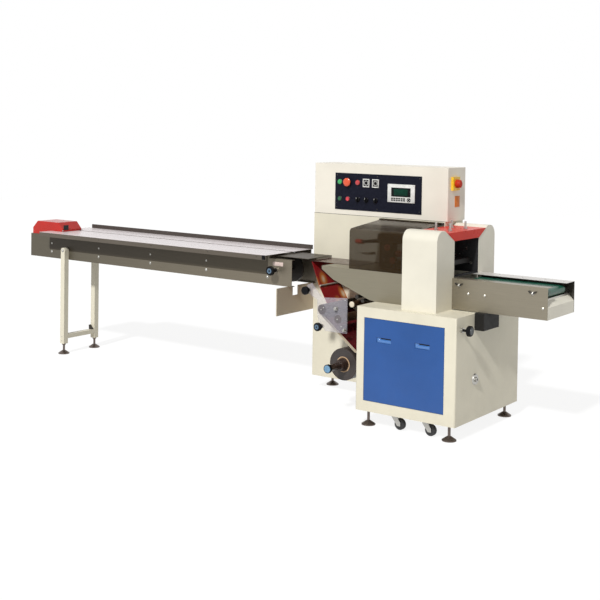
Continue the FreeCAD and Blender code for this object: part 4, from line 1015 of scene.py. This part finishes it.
# ---------------------------------------------------------------- floor, light and camera
def seen_directly(tree):
    """1 for what the camera sees, also in gloss or through sheet; 0 for light on the machine."""
    path = tree.nodes.new("ShaderNodeLightPath")
    socket = path.outputs["Is Camera Ray"]
    for kind in ("Is Glossy Ray", "Is Transmission Ray"):
        more = tree.nodes.new("ShaderNodeMath")
        more.operation = "MAXIMUM"
        tree.links.new(socket, more.inputs[0])
        tree.links.new(path.outputs[kind], more.inputs[1])
        socket = more.outputs[0]
    return socket


def shader(tree, kind, colour, strength=None):
    """A shader of one colour; one that glows has a strength too."""
    made = tree.nodes.new("ShaderNode" + kind)
    made.inputs["Color"].default_value = (*colour, 1)
    if strength is not None:
        made.inputs["Strength"].default_value = strength
    return made.outputs[0]


def choose(tree, unseen, seen, output):
    """One shader for the light on the machine, the other for what the camera sees."""
    chosen = tree.nodes.new("ShaderNodeMixShader")
    for socket, source in zip(chosen.inputs, (seen_directly(tree), unseen, seen)):
        tree.links.new(source, socket)
    tree.links.new(chosen.outputs[0], output.inputs["Surface"])


def floor():
    """A pale floor that glows for the camera and keeps a faint shadow."""
    mesh = bpy.data.meshes.new("floor")
    size = 14.0
    mesh.from_pydata([(-size, -size, 0), (size, -size, 0), (size, size, 0), (-size, size, 0)], [],
                     [(0, 1, 2, 3)])
    obj = bpy.data.objects.new("floor", mesh)
    bpy.context.scene.collection.objects.link(obj)
    mat = bpy.data.materials.new("floor")
    mat.use_nodes = True
    tree = mat.node_tree
    tree.nodes.clear()
    output = tree.nodes.new("ShaderNodeOutputMaterial")
    plain = shader(tree, "BsdfDiffuse", (0.72, 0.72, 0.71))
    added = tree.nodes.new("ShaderNodeAddShader")
    tree.links.new(shader(tree, "BsdfDiffuse", (0.17, 0.17, 0.17)), added.inputs[0])
    tree.links.new(shader(tree, "Emission", (1, 1, 1), 0.87), added.inputs[1])
    choose(tree, plain, added.outputs[0], output)
    mesh.materials.append(mat)


def lights():
    """One soft sun from the front and above, and a pale sky that is white to the camera."""
    data = bpy.data.lights.new("sun", "SUN")
    data.energy = 2.75
    data.angle = math.radians(4)
    sun = bpy.data.objects.new("sun", data)
    sun.rotation_euler = Vector((0.13, -0.75, 0.65)).to_track_quat("Z", "Y").to_euler()
    bpy.context.scene.collection.objects.link(sun)
    world = bpy.data.worlds.new("world")
    bpy.context.scene.world = world
    world.use_nodes = True
    tree = world.node_tree
    tree.nodes.clear()
    output = tree.nodes.new("ShaderNodeOutputWorld")
    dim = shader(tree, "Background", (1, 0.985, 0.96), 0.36)
    bright = shader(tree, "Background", (1, 1, 1), 1.0)
    choose(tree, dim, bright, output)


def camera():
    """The photograph's viewpoint: right of the machine's front, at eye height."""
    place = Vector((4.508, -5.712, 1.714))
    yaw, pitch, roll = math.radians(36.3), math.radians(1.59), math.radians(0.85)
    ahead = Vector((-math.sin(yaw) * math.cos(pitch), math.cos(yaw) * math.cos(pitch),
                    -math.sin(pitch)))
    level = Vector((math.cos(yaw), math.sin(yaw), 0))
    rise = level.cross(ahead)
    right = level * math.cos(roll) + rise * math.sin(roll)
    up = rise * math.cos(roll) - level * math.sin(roll)
    data = bpy.data.cameras.new("camera")
    data.sensor_width = 36
    data.lens = 67.7
    data.shift_x = 0.004
    data.shift_y = -0.246
    cam = bpy.data.objects.new("camera", data)
    turn = Matrix((right, up, -ahead)).transposed()
    cam.matrix_world = Matrix.Translation(place) @ turn.to_4x4()
    bpy.context.scene.collection.objects.link(cam)
    bpy.context.scene.camera = cam


panel_controls()
panel_instruments()
box_details()
panel_pulls()
frame_bolts()
stand_fittings()
discharge_details()
tunnel_shade_sheets()
sealing_unit()
tail_hole_shade()
knob_caps()
handwheel_cap()
knob_grips()
reel_details()
roller_details()
for name in ("rear_body", "table_housing", "lower_cabinet", "blue_panel", "infeed_stand",
             "discharge_nose", "tail_cover", "red_hood"):
    soften(name, 0.0015)
floor()
lights()
camera()
bpy.context.scene.view_settings.view_transform = "Standard"
